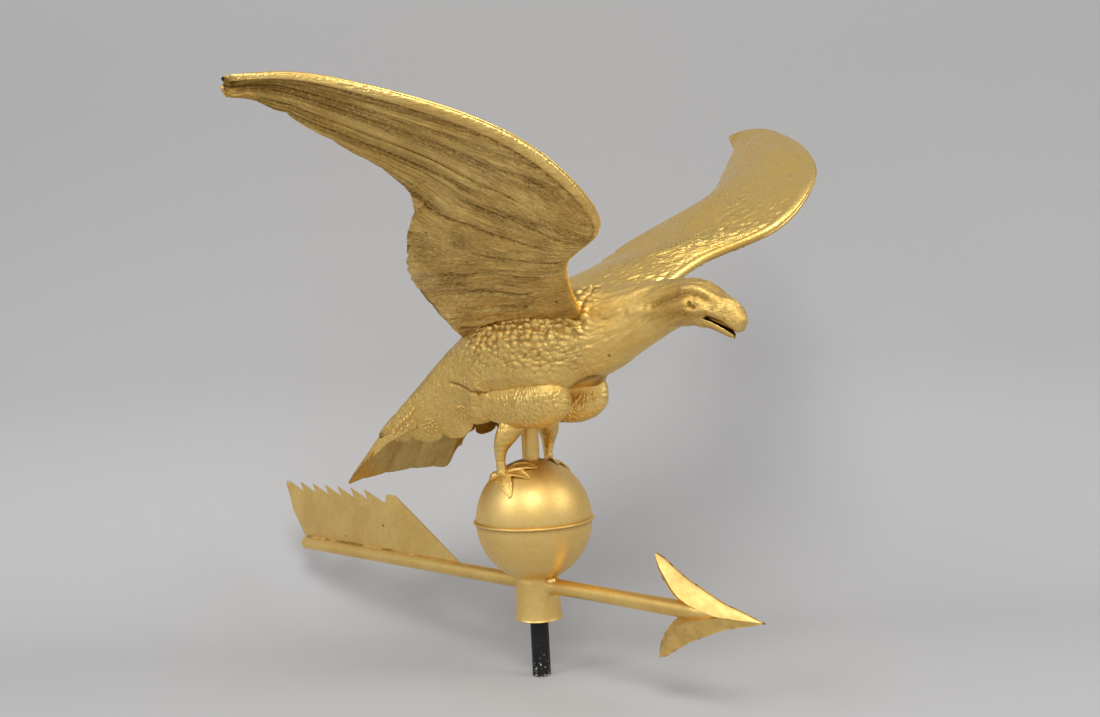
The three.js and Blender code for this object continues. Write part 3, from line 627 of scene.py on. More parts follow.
# %% Bare metals
brass = gilded("brass", (0.66, 0.47, 0.19, 1), (0.50, 0.34, 0.12, 1), groove_brown,
               clouds=30, smooth=0.28, rough=0.42, ripple=0.2, dent=0.05)
bare_copper = gilded("bare_copper", (0.42, 0.24, 0.07, 1), (0.26, 0.14, 0.04, 1), (0.08, 0.04, 0.015, 1),
                     clouds=30, smooth=0.4, rough=0.6, ripple=0.3, dent=0.1)
copper_in_painted_shade = gilded("copper_in_painted_shade", (0.09, 0.045, 0.018, 1), (0.05, 0.026, 0.012, 1),
                     (0.02, 0.01, 0.005, 1), clouds=40, smooth=0.5, rough=0.7, ripple=0.3, dent=0.1)
steel = gilded("bearing_steel", (0.55, 0.56, 0.57, 1), (0.45, 0.46, 0.47, 1), (0.2, 0.2, 0.2, 1),
               clouds=60, smooth=0.15, rough=0.25, ripple=0.1, dent=0.02)
print("metals:", ", ".join(material.name for material in bpy.data.materials if material.use_nodes))

# %% [markdown]
# The spindle is iron with black paint. Paint on a rod that is pushed into a socket chips
# near the end, so pale chips gather low on it. The height over the floor steers that.

# %% Black painted iron
def build_painted_iron():
    material, tree, shader = new_material("black_paint_on_iron")
    where = tree.nodes.new("ShaderNodeTexCoord").outputs["Object"]
    height = tree.nodes.new("ShaderNodeSeparateXYZ")
    tree.links.new(where, height.inputs[0])
    low = range_node(tree, height.outputs["Z"], 0.052, 0.0, 0.0, 0.165)
    chips = noise_node(tree, where, 330, 3, 0.6)
    chipped = math_node(tree, "GREATER_THAN", math_node(tree, "ADD", chips, low), 0.76)
    dust = range_node(tree, noise_node(tree, where, 60, 4, 0.6), 0.35, 0.7)
    paint = colour_mix(tree, dust, (0.004, 0.004, 0.005, 1), (0.010, 0.010, 0.011, 1))
    colour = colour_mix(tree, chipped, paint, (0.42, 0.42, 0.40, 1))
    tree.links.new(colour, shader.inputs["Base Color"])
    rough = range_node(tree, dust, 0.0, 1.0, 0.42, 0.6)
    tree.links.new(rough, shader.inputs["Roughness"])
    surface = group_node(tree, leaf_surface, ripple=0.3, dent=0.05)
    tree.links.new(surface.outputs["Normal"], shader.inputs["Normal"])
    shader.inputs["Specular IOR Level"].default_value = 0.35
    return material


painted_iron = build_painted_iron()
print("paint:", painted_iron.name)

# %% [markdown]
# ## Body
# The body is pressed in a left and a right half that meet along the back and the belly. Its
# shape is a row of sections. Each row gives the place along the bird, the heights of the
# back and of the widest line, the half width, and the side and height of the lower edge.

# %% Body sections
neck_seam, body_length, tail_length = 108.0, 198.0, 130.0
belly, body_height, half_body = 133.0, 103.0, 48.0
tail_end, half_tail = 41.0, 77.5
body_shares = np.array([
    [0, 1, 0.58, 0.77, 0, 0.17],
    [0.14, 1, 0.55, 0.92, 0, 0.09],
    [0.32, 0.97, 0.52, 1, 0, 0.03],
    [0.49, 0.92, 0.48, 1, 0, 0],
    [0.62, 0.86, 0.43, 0.98, 0.12, -0.08],
    [0.72, 0.79, 0.36, 0.96, 0.54, -0.28],
    [0.85, 0.67, 0.26, 0.96, 0.75, -0.44],
    [1, 0.47, 0.1, 1.02, 0.77, -0.49],
])
tail_shares = np.array([
    [0.23, 0.81, 0.56, 0.71, 0.5, 0.27],
    [0.43, 0.62, 0.44, 0.78, 0.61, 0.27],
    [0.59, 0.46, 0.32, 0.85, 0.71, 0.28],
    [0.8, 0.23, 0.11, 0.94, 0.76, 0],
    [1, -0.015, -0.09, 1, 0.85, -0.13],
])
tail_rise = belly + body_shares[-1, 1] * body_height - tail_end


def stations(shares, start, length, base, height, half_width):
    along, ridge, middle, wide, hem, low = shares.T
    return np.stack([
        start + along * length, base + ridge * height, base + middle * height,
        wide * half_width, hem * half_width, base + low * height,
    ], axis=1)


body_rows = np.vstack([
    stations(body_shares, neck_seam, -body_length, belly, body_height, half_body),
    stations(tail_shares, neck_seam - body_length, -tail_length, tail_end, tail_rise, half_tail),
])
body_end, hem_start, hem_lobes, cover_lobes = 10, 4, 4, 3
back_top = belly + body_height
half_girth = 190.0  # from the back to the belly along the skin
print("body:", body_length, "mm long,", body_height, "mm high, tail:", tail_length, "mm")


def section_point(rows, turn, centre=0.15, inset=0.0):
    """turn runs from 0 at the back over 0.5 at the widest line to 1 at the lower edge."""
    x, ridge, middle, wide, hem, low = rows.T
    side = np.maximum(wide - inset, centre)
    hem_side = np.minimum(np.maximum(hem, centre), side)
    top = np.maximum(ridge - inset, middle)
    upper = np.clip(turn, 0, 0.5) * math.pi
    share = np.clip(2 * turn - 1, 0, 1)
    openness = np.minimum(1, hem / (wide / 2 + 0.15))
    fall = mix(np.sin(share * math.pi / 2), share, openness)
    bottom = np.minimum(low + inset, middle)
    y = np.where(turn <= 0.5, mix(centre, side, np.sin(upper)),
                 mix(hem_side, side, np.cos(share * math.pi / 2)))
    z = np.where(turn <= 0.5, mix(middle, top, np.cos(upper)), mix(middle, bottom, fall))
    return np.stack([x, y, z], axis=1)


# %% [markdown]
# The body's rear ends in scallops, and so does its lower edge, where the skirt of feathers
# hangs open over the tail. Both are cut into the form with the row of lobes.

# %% Body form
def body_form(s, t):
    last_bay = body_rows[body_end - 1, 0] - body_rows[body_end, 0]
    place = s * body_end
    cover = smooth_step(body_end - 1, body_end, place)
    place = place - cover * 8 / last_bay * (1 - lobe(np.clip(t, 0, 1) * 2 * cover_lobes))
    rows = table_at(body_rows, place)
    depth = rows[:, 2] - rows[:, 5]
    along = np.maximum(0, place - hem_start) / (body_end - hem_start) * hem_lobes
    cut = np.where(place > hem_start, 9 / depth * (1 - lobe(along)), 0)
    below = np.maximum(0, t - 0.5) * (1 - cut * smooth_step(0.5, 1, t))
    return section_point(rows, np.minimum(t, 0.5) + below)


# %% [markdown]
# ## Feathers in relief
# The small feathers are worn down to rounded nuggets. A grid of cells is laid over the skin,
# and each cell gets one bump with its own size, turn and height. A point takes the highest
# bump that reaches it, also from the cells next to its own. The stipple is a finer grain.

# %% Nuggets and stipple
def stipple(points, size, seed):
    """Fine hammered grain, from noise in the side view of the bird."""
    x, z = points[:, 0] / size, points[:, 2] / size
    return smooth_noise(x + 0.4 * z, z - 0.4 * x, seed)


def nuggets(along, across, length, width, seed):
    """Bumps of many sizes, one thrown into each cell, with heights from 0 to 1."""
    u, v = along / length, across / width
    height = np.zeros_like(u)
    for di in (-1, 0, 1):
        for dj in (-1, 0, 1):
            i, j = np.floor(u) + di, np.floor(v) + dj
            du = u - i - 0.15 - 0.7 * wild(i, j, seed)
            dv = v - j - 0.15 - 0.7 * wild(i, j, seed + 1)
            turn = (wild(i, j, seed + 2) - 0.5) * 1.2
            size = 0.42 + 0.3 * wild(i, j, seed + 3)
            away = np.hypot(du + turn * dv, dv - 0.4 * turn * du) / size
            bump = (0.45 + 0.55 * wild(i, j, seed + 4)) * np.clip(1 - away * away, 0, 1) ** 0.8
            height = np.maximum(height, bump)
    return height


# %% [markdown]
# ## Thigh form
# A thigh is a round egg below. Above it is fuller, and it runs out behind under the skirt.
# Where it meets the body, the metal was dressed into one soft hollow. `thigh_gap` tells how
# far a point is from the thigh's skin, and `fillet` fills the corner between two forms by an
# amount that grows as they come together.

# %% Thigh form
thigh_size = np.array([52.0, 19.0, 28.0])
thigh_place = np.array([31.0, 28.0, 126.5])


def thigh_reach(way):
    """How far the thigh's skin is from its middle in each direction."""
    x, y, z = way.T
    outer = smooth_step(-0.2, 0.6, y) * smooth_step(-0.3, 0.7, z)
    power = 2.0 + 1.6 * outer + 0.7 * smooth_step(0.1, -0.9, x)
    length = np.where(x < 0, thigh_size[0] + 25 * smooth_step(0, -1, x), thigh_size[0])
    size = np.stack([length, np.full_like(x, thigh_size[1]), thigh_size[2] + 3 * outer])
    return ((np.abs(way.T) / size) ** power).sum(axis=0) ** (-1 / power)


def thigh_gap(points):
    away = points - thigh_place
    distance = np.maximum(np.linalg.norm(away, axis=1), 1e-6)
    return distance - thigh_reach(away / distance[:, None])


def fillet(gap, reach):
    return reach / 4 * np.clip(1 - np.maximum(gap, 0) / reach, 0, 1) ** 2


# %% [markdown]
# The skirt behind has two rows of bars and four rings of dots above its scallops,
# which were punched into the mould. Both are kept free of toning, light gold as painted highlight.

# %% Bars and dots on the skirt
bar_rows = [(-119.5, 115.4), (-123.5, 110.5), (-128.5, 107), (-133, 104), (-138, 101), (-139.5, 94),
            (-125, 101), (-131, 96.5), (-144, 96), (-145, 88.5), (-150, 91), (-152, 83.5), (-137, 88)]
dot_rings = [(-104.4, 98, 7.5, 12), (-104.4, 98, 3.4, 5), (-56, 113, 7.5, 12), (-56, 113, 3.4, 4)]
print("skirt:", len(bar_rows), "bars and", sum(ring[3] for ring in dot_rings), "dots")


def skirt_bars(points):
    """Heights from 0 to 1 of short upright bars in two rows, and of rings of dots."""
    x, z = points[:, 0], points[:, 2]
    bar, dot = (1.35, 3.8), (1.15, 1.5)  # half the width and half the height
    marks = [(px, pz, *bar) for px, pz in bar_rows]
    for px, pz, radius, count in dot_rings:
        for n in range(count):
            angle = n * 2 * math.pi / count + px
            marks.append((px + radius * math.cos(angle), pz + radius * math.sin(angle), *dot))
    height = np.zeros(len(points))
    for px, pz, wide, tall in marks:
        away = np.hypot((x - px - 0.25 * (z - pz)) / wide, (z - pz) / tall)
        height = np.maximum(height, np.clip(1 - away * away, 0, 1))
    return height


# %% [markdown]
# The body's own relief: bold nuggets on the shoulder under the wing, then short dashes, which
# fade into a fine stipple. The patterns are laid out along the bird and around its skin, so
# they run on over the seam to the neck. The crease where the breast lies over the thighs is a
# cut line with a soft lip above it, and the skin is fuller there.

# %% Shoulder pattern and breast edge
crease_back = [(-66, 0, 144.5), (-54, 0, 142.5), (-42.8, 0, 139.5), (-30, 0, 136)]
breast_edge = np.array([[10, 137], [30, 137], [49, 139.5], [63, 142], [72, 144], [90, 147.5], [107, 150.5]])
crease_front = [(-34, 0, 137.5), (-26.7, 0, 138), *((x, 0, z) for x, z in breast_edge)]
shoulder_relief = 3.0
dash_size = (9.5, 4.8)


def behind_seam(points):
    """How far back a point is on the skin, in rows that lean with the height."""
    return neck_seam - points[:, 0] + 0.3 * (back_top - points[:, 2])


def shoulder_nuggets(points):
    """Bold nuggets on the shoulder, in a pattern that runs on from the body to the neck."""
    x, y, z = points.T
    axis_height, radius = 186, 46
    around = np.arctan2(z - axis_height, np.maximum(y, 0.01)) * radius
    lumps = nuggets(behind_seam(points) + 0.15 * around, around, 9.5, 6.2, 3)
    area = smooth_step(-62, -20, x) * smooth_step(128, 110, x) * smooth_step(172, 190, z - 0.10 * x + 4)
    return lumps, area


def crease_height(x):
    """How high the edge of the breast is over the thigh."""
    return np.interp(x, *breast_edge.T)


# %% Body relief
def body_relief(s, t, points):
    x, _, z = points.T
    around = t * half_girth
    along = behind_seam(points)
    lumps, bold = shoulder_nuggets(points)
    dashes = smooth_step(-62, -20, x) * smooth_step(116, 104, x) * (1 - bold) * smooth_step(150, 168, z)
    dash = nuggets(along + 0.2 * around, around, *dash_size, 7)
    fine = nuggets(along, around, 3.4, 3.0, 13)
    grain = stipple(points, 1.9, 5) * 0.18 + stipple(points, 4.6, 6) * 0.24
    height = shoulder_relief * bold * lumps + 1.9 * dashes * dash + 0.7 * (1 - bold) * fine
    height += grain * (1 - bold)
    groove = 0.75 * bold * smooth_step(0.4, 0.05, lumps) - 0.6 * bold * lumps
    groove += dashes * (0.5 * smooth_step(0.2, 0.0, dash) - 0.6 * dash)
    groove += 0.4 * (1 - bold) * smooth_step(0.4, 0.05, fine)
    bars = skirt_bars(points) * (z < 136)
    height += 2.5 * bars
    under_breast = smooth_step(crease_height(x) - 3, crease_height(x) + 0.5, z)
    fill = fillet(thigh_gap(points), 30) * mix(under_breast, 1, smooth_step(16, -22, x))
    over_thigh = smooth_step(-18, 6, x) * smooth_step(98, 70, x) * mix(4, 6.5, smooth_step(20, 60, x))
    fill += over_thigh * under_breast * smooth_step(24, 1, z - crease_height(x))
    # Bars and dots lose their toning and stay light gold: painted highlight on them.
    groove = groove - 1.2 * bars
    side = points * [1, 0, 1]
    line = np.maximum(mound(side, crease_back, 2.6), mound(side, crease_front, 2.8))
    lip = np.maximum(mound(side - [0, 0, 4], crease_back, 6), mound(side - [0, 0, 4], crease_front, 6))
    seam = smooth_step(107.6, 103, x)
    height = height * mix(bold, 1, seam) + (0.6 * lip - 1.8 * line) * seam + fill
    # The crease's cut line is toned dark: painted shade in the crease.
    groove = np.maximum(groove - 0.2 * (1 - bold), 0.95 * line * seam)
    return height, np.clip(groove, -1, 1)


def body_flow(s, t, points):
    return neck_seam - points[:, 0] + 0.5 * points[:, 2], t * half_girth + 0.3 * points[:, 0]


body_left = laid_sheet("body_left", 290, 140, body_form, body_relief, outward=-1, flow=body_flow)
body_right = mirrored_copy(body_left, "body_right")
finish_piece(body_left, ["body_left_half"], gilt_plumage)
finish_piece(body_right, ["body_right_half"], gilt_plumage)

# %% [markdown]
# ## Head
# The head and neck are two more halves, soldered to the body at an upright seam. The
# shoulder's nuggets and dashes run on over the seam and fade on the neck, which is smooth,
# with long soft streaks. The brow, the hollow over the eye, the eye and the cheek are soft
# mounds and hollows along short lines on the side of the head.

# %% Head sections and the lines on it
head_base, head_height, half_head, head_reach = 182.955, 56.0, 22.0, 165.5
head_shares = np.array([
    [0.1, 0.96, 0.27, 1.5, 0, -0.445],
    [0.21, 0.97, 0.36, 1.32, 0, -0.27],
    [0.31, 0.99, 0.45, 1.14, 0, -0.11],
    [0.42, 1, 0.53, 1, 0, 0.05],
    [0.53, 1.02, 0.6, 0.95, 0, 0.2],
    [0.63, 1.02, 0.62, 1, 0, 0.24],
    [0.69, 1, 0.6, 1, 0, 0.23],
    [0.735, 0.97, 0.58, 0.91, 0, 0.2],
    [0.775, 0.92, 0.55, 0.82, 0, 0.33],
    [0.82, 0.81, 0.49, 0.66, 0, 0.32],
    [0.87, 0.71, 0.44, 0.55, 0, 0.25],
    [0.92, 0.65, 0.36, 0.45, 0, 0.15],
    [0.955, 0.57, 0.31, 0.36, 0, 0.11],
    [0.98, 0.45, 0.29, 0.25, 0, 0.155],
    [1, 0.33, 0.33, 0, 0, 0.33],
])
head_rows = np.vstack([
    body_rows[0],
    stations(head_shares, neck_seam, head_reach, head_base, head_height, half_head),
])
brow = [(219, 18, 229.5), (227.5, 15.5, 229.8), (235.3, 13.6, 227.9), (242.7, 10.6, 223.9), (250, 9.4, 219)]
brow_hollow = [(186, 21.3, 215.6), (195.3, 20.5, 219.8), (209.5, 20.9, 223.6), (220, 20.1, 225),
               (228, 18.4, 224.6), (235.4, 16.2, 222.6), (240, 15, 220)]
cheek = [(162.7, 24.3, 210.9), (173.3, 22.7, 211.5), (190.4, 20.8, 211.8), (204.7, 21.2, 215),
         (222, 21, 216.5)]
eye_pit = [(227.6, 21, 217), (228.2, 20.6, 214), (231, 19.6, 213)]
eye_glint = [(233.5, 18.6, 217.6), (234.5, 18.2, 217)]
under_eye = [(224, 21, 210.5), (231.7, 18.8, 209.8), (240, 15, 211)]
beak_ridge = [(261, 8, 210.5), (267, 6, 208), (271, 4, 200)]
cere_marks = [(247, 13, 211), (253, 11, 208), (256, 10, 203)]
neck_dimple = [(134, 30.7, 205), (142, 29, 206), (150, 27, 209)]
chin_shade = [(176, 24, 204), (196, 22, 204.5), (216, 21, 207), (232, 16, 205)]
print("head:", head_reach, "mm from the seam to the beak's tip")


# %% Head form and relief
def head_form(s, t):
    rows = table_at(head_rows, s * (len(head_rows) - 1)).copy()
    return section_point(rows, t)


def neck_flow(x, z):
    """How far a point is over the neck's lower line, in streaks that draw together forward."""
    forward = smooth_step(100, 225, x)
    return (z - mix(150, 204, forward)) / mix(1.0, 0.55, forward)


def head_relief(s, t, points):
    x, _, z = points.T
    flow = neck_flow(x, z)
    streaks = smooth_noise(x / 26, flow / 5.2, 11) + 0.6 * smooth_noise(x / 13, flow / 2.7, 12)
    streak_area = smooth_step(248, 215, x) * smooth_step(0.02, 0.14, t)
    height = 0.6 * streaks * streak_area
    groove = 0.32 * smooth_step(0.3, 1.2, -streaks) * streak_area
    height += 2.3 * mound(points, brow, 7.5)
    hollow = mound(points, brow_hollow, 5.4)
    height -= 1.8 * hollow
    height += 1.5 * mound(points, cheek, 7) + 1.0 * mound(points, under_eye, 5)
    pit = mound(points, eye_pit, 3.0)
    glint = mound(points, eye_glint, 2.4)
    height += 1.1 * glint - 1.5 * pit * (1 - glint)
    cere = mound(points, cere_marks, 6) * smooth_step(0.1, 0.8, stipple(points, 2.6, 14))
    height += 1.0 * mound(points, beak_ridge, 7) - 0.5 * cere
    dimple = mound(points, neck_dimple, 6)
    height += 1.3 * mound(points - [0, 0, 3.5], neck_dimple, 4.5) - 0.9 * dimple
    painted_chin_shade = mound(points, chin_shade, 7)
    # The hollow under the brow, the pit of the eye and the chin are toned darker: painted shade in them.
    marks = np.maximum.reduce([0.62 * hollow, 0.95 * pit * (1 - glint), 0.7 * cere, 0.45 * dimple,
                               0.4 * painted_chin_shade, groove])
    grain = stipple(points, 2.3, 8)
    seam = smooth_step(108.4, 114, x)
    lumps, bold = shoulder_nuggets(points)
    around = t * half_girth
    dash = nuggets(behind_seam(points) + 0.2 * around, around, *dash_size, 7)
    dashes = 0.8 * smooth_step(150, 112, x) * smooth_step(150, 168, z)
    height = (height + 0.08 * grain + 1.7 * dashes * dash) * seam * (1 - bold)
    height += shoulder_relief * bold * lumps
    toning = bold * (0.75 * smooth_step(0.4, 0.05, lumps) - 0.6 * lumps)
    # The neck behind the head is kept free of toning, lighter as painted light, and the head in front gets
    # a little toning.
    toning_and_painted_light = 0.16 * smooth_step(185, 210, x) - 0.6 * smooth_step(185, 165, x) * (1 - marks)
    toning_and_painted_light += dashes * (0.45 * smooth_step(0.2, 0.0, dash) - 0.4 * dash)
    return height, np.clip((marks + toning_and_painted_light) * seam * (1 - bold) + toning, -1, 1)


def head_flow(s, t, points):
    x, z = points[:, 0], points[:, 2]
    return 1.6 * x, 1.5 * neck_flow(x, z)


head_left = laid_sheet("head_left", 260, 120, head_form, head_relief, flow=head_flow)
head_right = mirrored_copy(head_left, "head_right")
finish_piece(head_left, ["head_left_half"], gilt)
finish_piece(head_right, ["head_right_half"], gilt)

# %% [markdown]
# The lower beak is a narrow scoop under the hooked upper one. It is a round trough that
# gets lower and narrower to its tip. It is toned away from its rims, so both rims stay light
# as painted highlight, and show as bright lines.

# %% Lower beak
scoop_length, scoop_width, scoop_depth = 28, 11, 16.5
scoop_tip = neck_seam + head_reach - 12.6
scoop_rows = np.array([[-0.25, 1.36, 1.05, 0.6], [0, 1.2, 1, 0.52], [0.35, 0.98, 0.85, 0.5],
                       [0.75, 0.58, 0.55, 0.4], [1, 0.24, 0.15, 0.2]])


def scoop_form(s, t):
    along, top, wide, deep = table_at(scoop_rows, s * (len(scoop_rows) - 1)).T
    angle = (t - 0.5) * math.pi
    x = scoop_tip + (along - 1) * scoop_length
    z = head_base + top * scoop_depth - deep * scoop_depth * np.cos(angle)
    return np.stack([x, wide * scoop_width * np.sin(angle), z], axis=1)


def scoop_relief(s, t, points):
    rim = smooth_step(0.09, 0.0, np.minimum(t, 1 - t))
    # The toning spares the rims: painted highlight on them.
    return 0.35 * rim, 0.55 * smooth_step(0.12, 0.3, np.minimum(t, 1 - t))


lower_beak = laid_sheet("beak_scoop", 60, 40, scoop_form, scoop_relief, outward=-1, thickness=0.8)
# Its inside is nearly black copper: painted shade in the mouth.
finish_piece(lower_beak, ["lower_beak"], gilt, inside=copper_in_painted_shade)

# %% [markdown]
# Between the beaks it is dark. A narrow tongue of bare copper closes the view through the
# mouth from one side to the other, as the folded sheet does there.

# %% Tongue
tongue_x, tongue_z, tongue_length = 246, 199.2, 19  # its middle and half its length


def build_tongue():
    deselect()
    bpy.ops.mesh.primitive_uv_sphere_add(segments=32, ring_count=20, radius=1)
    piece = bpy.context.object
    piece.name = "mouth_lining"
    unit = read_points(piece) * MM
    drop = -0.44 * unit[:, 0] * tongue_length
    points = np.stack([
        tongue_x + tongue_length * unit[:, 0],
        5.0 * unit[:, 1] * (1.1 - 0.6 * unit[:, 0]),
        tongue_z + drop + 2.6 * unit[:, 2] * (1 - 0.4 * unit[:, 0]),
    ], axis=1)
    write_points(piece, points + [0, 0, ball_centre])
    bpy.ops.object.shade_smooth()
    return piece


finish_piece(build_tongue(), ["lower_beak"], bare_copper)

# %% [markdown]
# ## Tail fan
# The tail is one arched sheet that starts under the body's scallops and ends in seven feather
# tips. Its underside shows in the photograph, so the feathers and their quills go all the way
# through the sheet: the wall that the Solidify modifier adds repeats them inside.

# %% Tail fan
tail_start, tail_last, feather_count = 8.0, 12.0, 7
tail_notch = 3.0
tail_across = 150.0  # over the arched sheet from side to side
fold_start = 0.88  # the share of the width where the tail's side folds down


def tail_form(s, t):
    side = 2 * t - 1
    out = np.abs(side)
    notch = tail_notch / (body_rows[-2, 0] - body_rows[-1, 0]) * (1 - lobe(t * feather_count))
    corner = 1.25 * np.clip((out - 0.62) / 0.38, 0, 1) ** 2.2
    place = mix(tail_start, tail_last, s) - (notch + corner) * smooth_step(0.6, 1, s)
    turn = np.minimum(out / fold_start, 1) / 2
    point = section_point(table_at(body_rows, place), turn, 0.0, 1.8)
    point[:, 1] *= np.sign(side)
    fold = np.clip((out - fold_start) / 0.12, 0, 1)
    point[:, 1] -= np.sign(side) * 1.5 * fold
    point[:, 2] -= fold * (mix(24, 3, s ** 0.9) + 0.7 * smooth_noise(s * 16, side * 0, 22))
    return point


def tail_relief(s, t, points):
    place = t * feather_count
    across = 2 * (place - np.floor(place)) - 1
    crown = 1 - np.abs(across) ** 2.2
    quill = smooth_step(0.09, 0.0, np.abs(across))
    wander = smooth_noise(s * 7, place * 3, 21)
    out = np.abs(2 * t - 1)
    lines = np.cos((out * 60 - s * 9) * 6.3) * smooth_step(0.74, 0.8, out) * smooth_step(0.9, 0.86, out)
    height = 0.55 * crown + 0.25 * quill + 0.2 * wander + 0.25 * lines - 0.9
    groove = 0.35 * smooth_step(0.9, 1.0, np.abs(across)) + 0.15 * smooth_step(0.2, 0.9, -wander)
    return height, np.clip(groove + 0.4 * smooth_step(0.3, 0.9, -lines), 0, 1)


def tail_flow(s, t, points):
    return s * tail_length, t * tail_across


tail = laid_sheet("tail", 140, 180, tail_form, tail_relief, outward=-1, flow=tail_flow)
# Its inside is a browner gold, which is painted shade on the tail's underside.
finish_piece(tail, ["tail_fan"], gilt_plumage, inside=gilt_tail_painted_shade)

# %% [markdown]
# ## Wings
# A wing is two pressed skins soldered along their rim. Two edge lines, the leading and the
# trailing one, say where it is, and a profile between them says how full it is. The feather
# lines start near the leading edge and sweep out to the trailing edge and the tip.

# %% Wing form
wing_reach, wing_span, wing_root, wing_rise = 230.0, 353.0, 195.006, 220.0
leading_shares = np.array([
    [0.41, 0.03, 0.05], [0.52, 0.136, 0.105], [0.68, 0.284, 0.275], [0.978, 0.374, 0.413],
    [1, 0.55, 0.636], [0.815, 0.702, 0.811], [0.44, 0.892, 0.968], [0.12, 1, 1.01],
])
trailing_shares = np.array([
    [-0.29, 0.03, -0.03], [-0.27, 0.1, 0], [-0.225, 0.252, 0.19], [-0.086, 0.38, 0.299],
    [0.072, 0.462, 0.428], [0.335, 0.605, 0.602], [0.207, 0.891, 0.876], [0.115, 1, 0.958],
])
wing_start = 0.06  # the share of the span that the body hides
root_thickness, tip_thickness, wing_bend, rim = 18, 5, 7, 1.15
fullest = math.sqrt(1 / 3) * (2 / 3)  # the most that sqrt(t) * (1 - t) comes to


def edge_line(shares):
    """An edge through its shares, with one more point beyond each end for the curve."""
    points = shares * [wing_reach, wing_span, wing_rise] + [0, 0, wing_root]
    before, after = 2 * points[0] - points[1], 2 * points[-1] - points[-2]
    return np.vstack([before, points, after])


leading_line, trailing_line = edge_line(leading_shares), edge_line(trailing_shares)


def on_edge(line, along):
    return table_at(line, 1 + np.clip(along, 0, 1) * (len(line) - 3))


def edge_heading(line, along):
    heading = on_edge(line, np.minimum(along + 1e-3, 1)) - on_edge(line, np.maximum(along - 1e-3, 0))
    return heading / np.linalg.norm(heading, axis=1)[:, None]


# %% [markdown]
# At each place along the wing, the chord runs straight from the leading to the trailing line,
# and the skin stands off it up or down. The trailing edge has a notch between each two feather
# tips, and near the wing's tip the chord shrinks along a round curve.

# %% Wing skins
def feather_lines(along, chord):
    """The number of the feather at a place on the wing, whole between two feathers."""
    start = mix(0.82, 0.42, smooth_step(0.08, 0.44, along))
    bent = start + (1 - start) * chord ** 1.25
    line = along / bent
    return np.where(line < 1, 20 * line, 20 + 7 * (line - 1))


def wing_form(face):
    def form(s, t):
        along = mix(wing_start, 1, s)
        front, back = on_edge(leading_line, along), on_edge(trailing_line, along)
        chord_line = back - front
        span_line = edge_heading(leading_line, along) + edge_heading(trailing_line, along)
        up = np.cross(chord_line, span_line)
        up *= np.sign(up[:, 2:]) / np.linalg.norm(up, axis=1)[:, None]
        chord_mm = np.linalg.norm(chord_line, axis=1)
        tips = 3.0 * (1 - lobe(feather_lines(along, 1 + 0 * t)))
        tips = tips + 1.8 * smooth_noise(along * 60, along * 0, 31)
        cut = np.maximum(tips, 0) / chord_mm * smooth_step(0.7, 1, t) * smooth_step(0.97, 0.9, along)
        round_tip = np.sqrt(1 - np.clip((along - 0.984) / 0.017, 0, 1) ** 2)
        blunt = 1 + 0.3 * smooth_step(0.9, 1.0, along)
        chord = mix(0.5, t * blunt - cut, round_tip)
        edge = rim * np.sqrt(np.clip(t / 0.02, 0, 1)) * mix(1, 0.55, smooth_step(0.9, 1, t))
        thickness = mix(root_thickness, tip_thickness, along)
        half = edge + (thickness / 2 - rim) * np.sqrt(t) * (1 - t) / fullest
        bend = wing_bend * np.sin(math.pi * t)
        middle = front + chord_line * chord[:, None] + up * bend[:, None]
        return middle + face * up * (half * mix(0.5, 1, round_tip))[:, None]
    return form


# %% [markdown]
# Both skins share the feathers' lines and the strands in them, a worn rim, and a rolled edge
# in front with a gutter behind it. The lines wander a little, as they do when cut by hand.

# %% What both wing skins share
wing_skin_length = 560  # from the root to the tip along the leading edge


def wing_measures(s, t):
    """The feather's number, and the distances behind the leading edge and out along it."""
    along = mix(wing_start, 1, s)
    chord = np.linalg.norm(on_edge(trailing_line, along) - on_edge(leading_line, along), axis=1)
    return along, feather_lines(along, t), t * chord, along * wing_skin_length


def rolled_edge(along, chord_mm, inner):
    """The wired leading edge, which is round and proud, and the gutter behind it."""
    width = mix(inner, 12.5, smooth_step(0.36, 0.64, along)) * mix(1.0, 0.4, smooth_step(0.7, 0.97, along))
    across = chord_mm / width
    crown = np.sqrt(np.clip(1 - (2 * across - 1) ** 2, 0, 1))
    gutter = smooth_step(0.95, 1.1, across) * smooth_step(1.7, 1.2, across)
    closing = smooth_step(1.0, 0.965, along)
    return crown * closing, gutter * closing, across < 1


def wing_strands(number, chord_mm, span_mm):
    """The wandering feather number, the low lines between feathers, and the strands in them."""
    wander = number + 0.22 * smooth_noise(chord_mm / 24, span_mm / 40, 46)
    across = 2 * (wander - np.floor(wander)) - 1
    strength = 0.5 + 0.5 * smooth_noise(np.floor(wander) * 3.3, chord_mm / 40, 41)
    between = smooth_step(0.66, 1.0, np.abs(across)) * smooth_step(0.35, 0.9, strength)
    strands = smooth_noise(number * 3.4, chord_mm / 30, 42)
    return wander, between, strands + 0.7 * smooth_noise(number * 7.1, chord_mm / 15, 43)


def wing_rim(along, t, chord_mm, span_mm):
    """Where the relief fades out at the rim, and where the gold is worn off it."""
    fade = smooth_step(1.0, 0.96, t) * smooth_step(1.0, 0.975, along)
    chips = smooth_step(0.975, 0.995, t) * smooth_step(0.55, 0.75, smooth_noise(along * 26, along * 0, 47))
    spots = smooth_step(-0.1, 0.3, smooth_noise(chord_mm / 5, span_mm / 5, 48))
    return fade, np.maximum(smooth_step(0.975, 0.99, along) * spots, chips)


# %% [markdown]
# The underside is one brown sweep of fibres, whose brown is partly painted shade, with a few
# dark lines cut between the feathers.
# Each is given as the feather's number and the shares of the chord where it starts and ends.

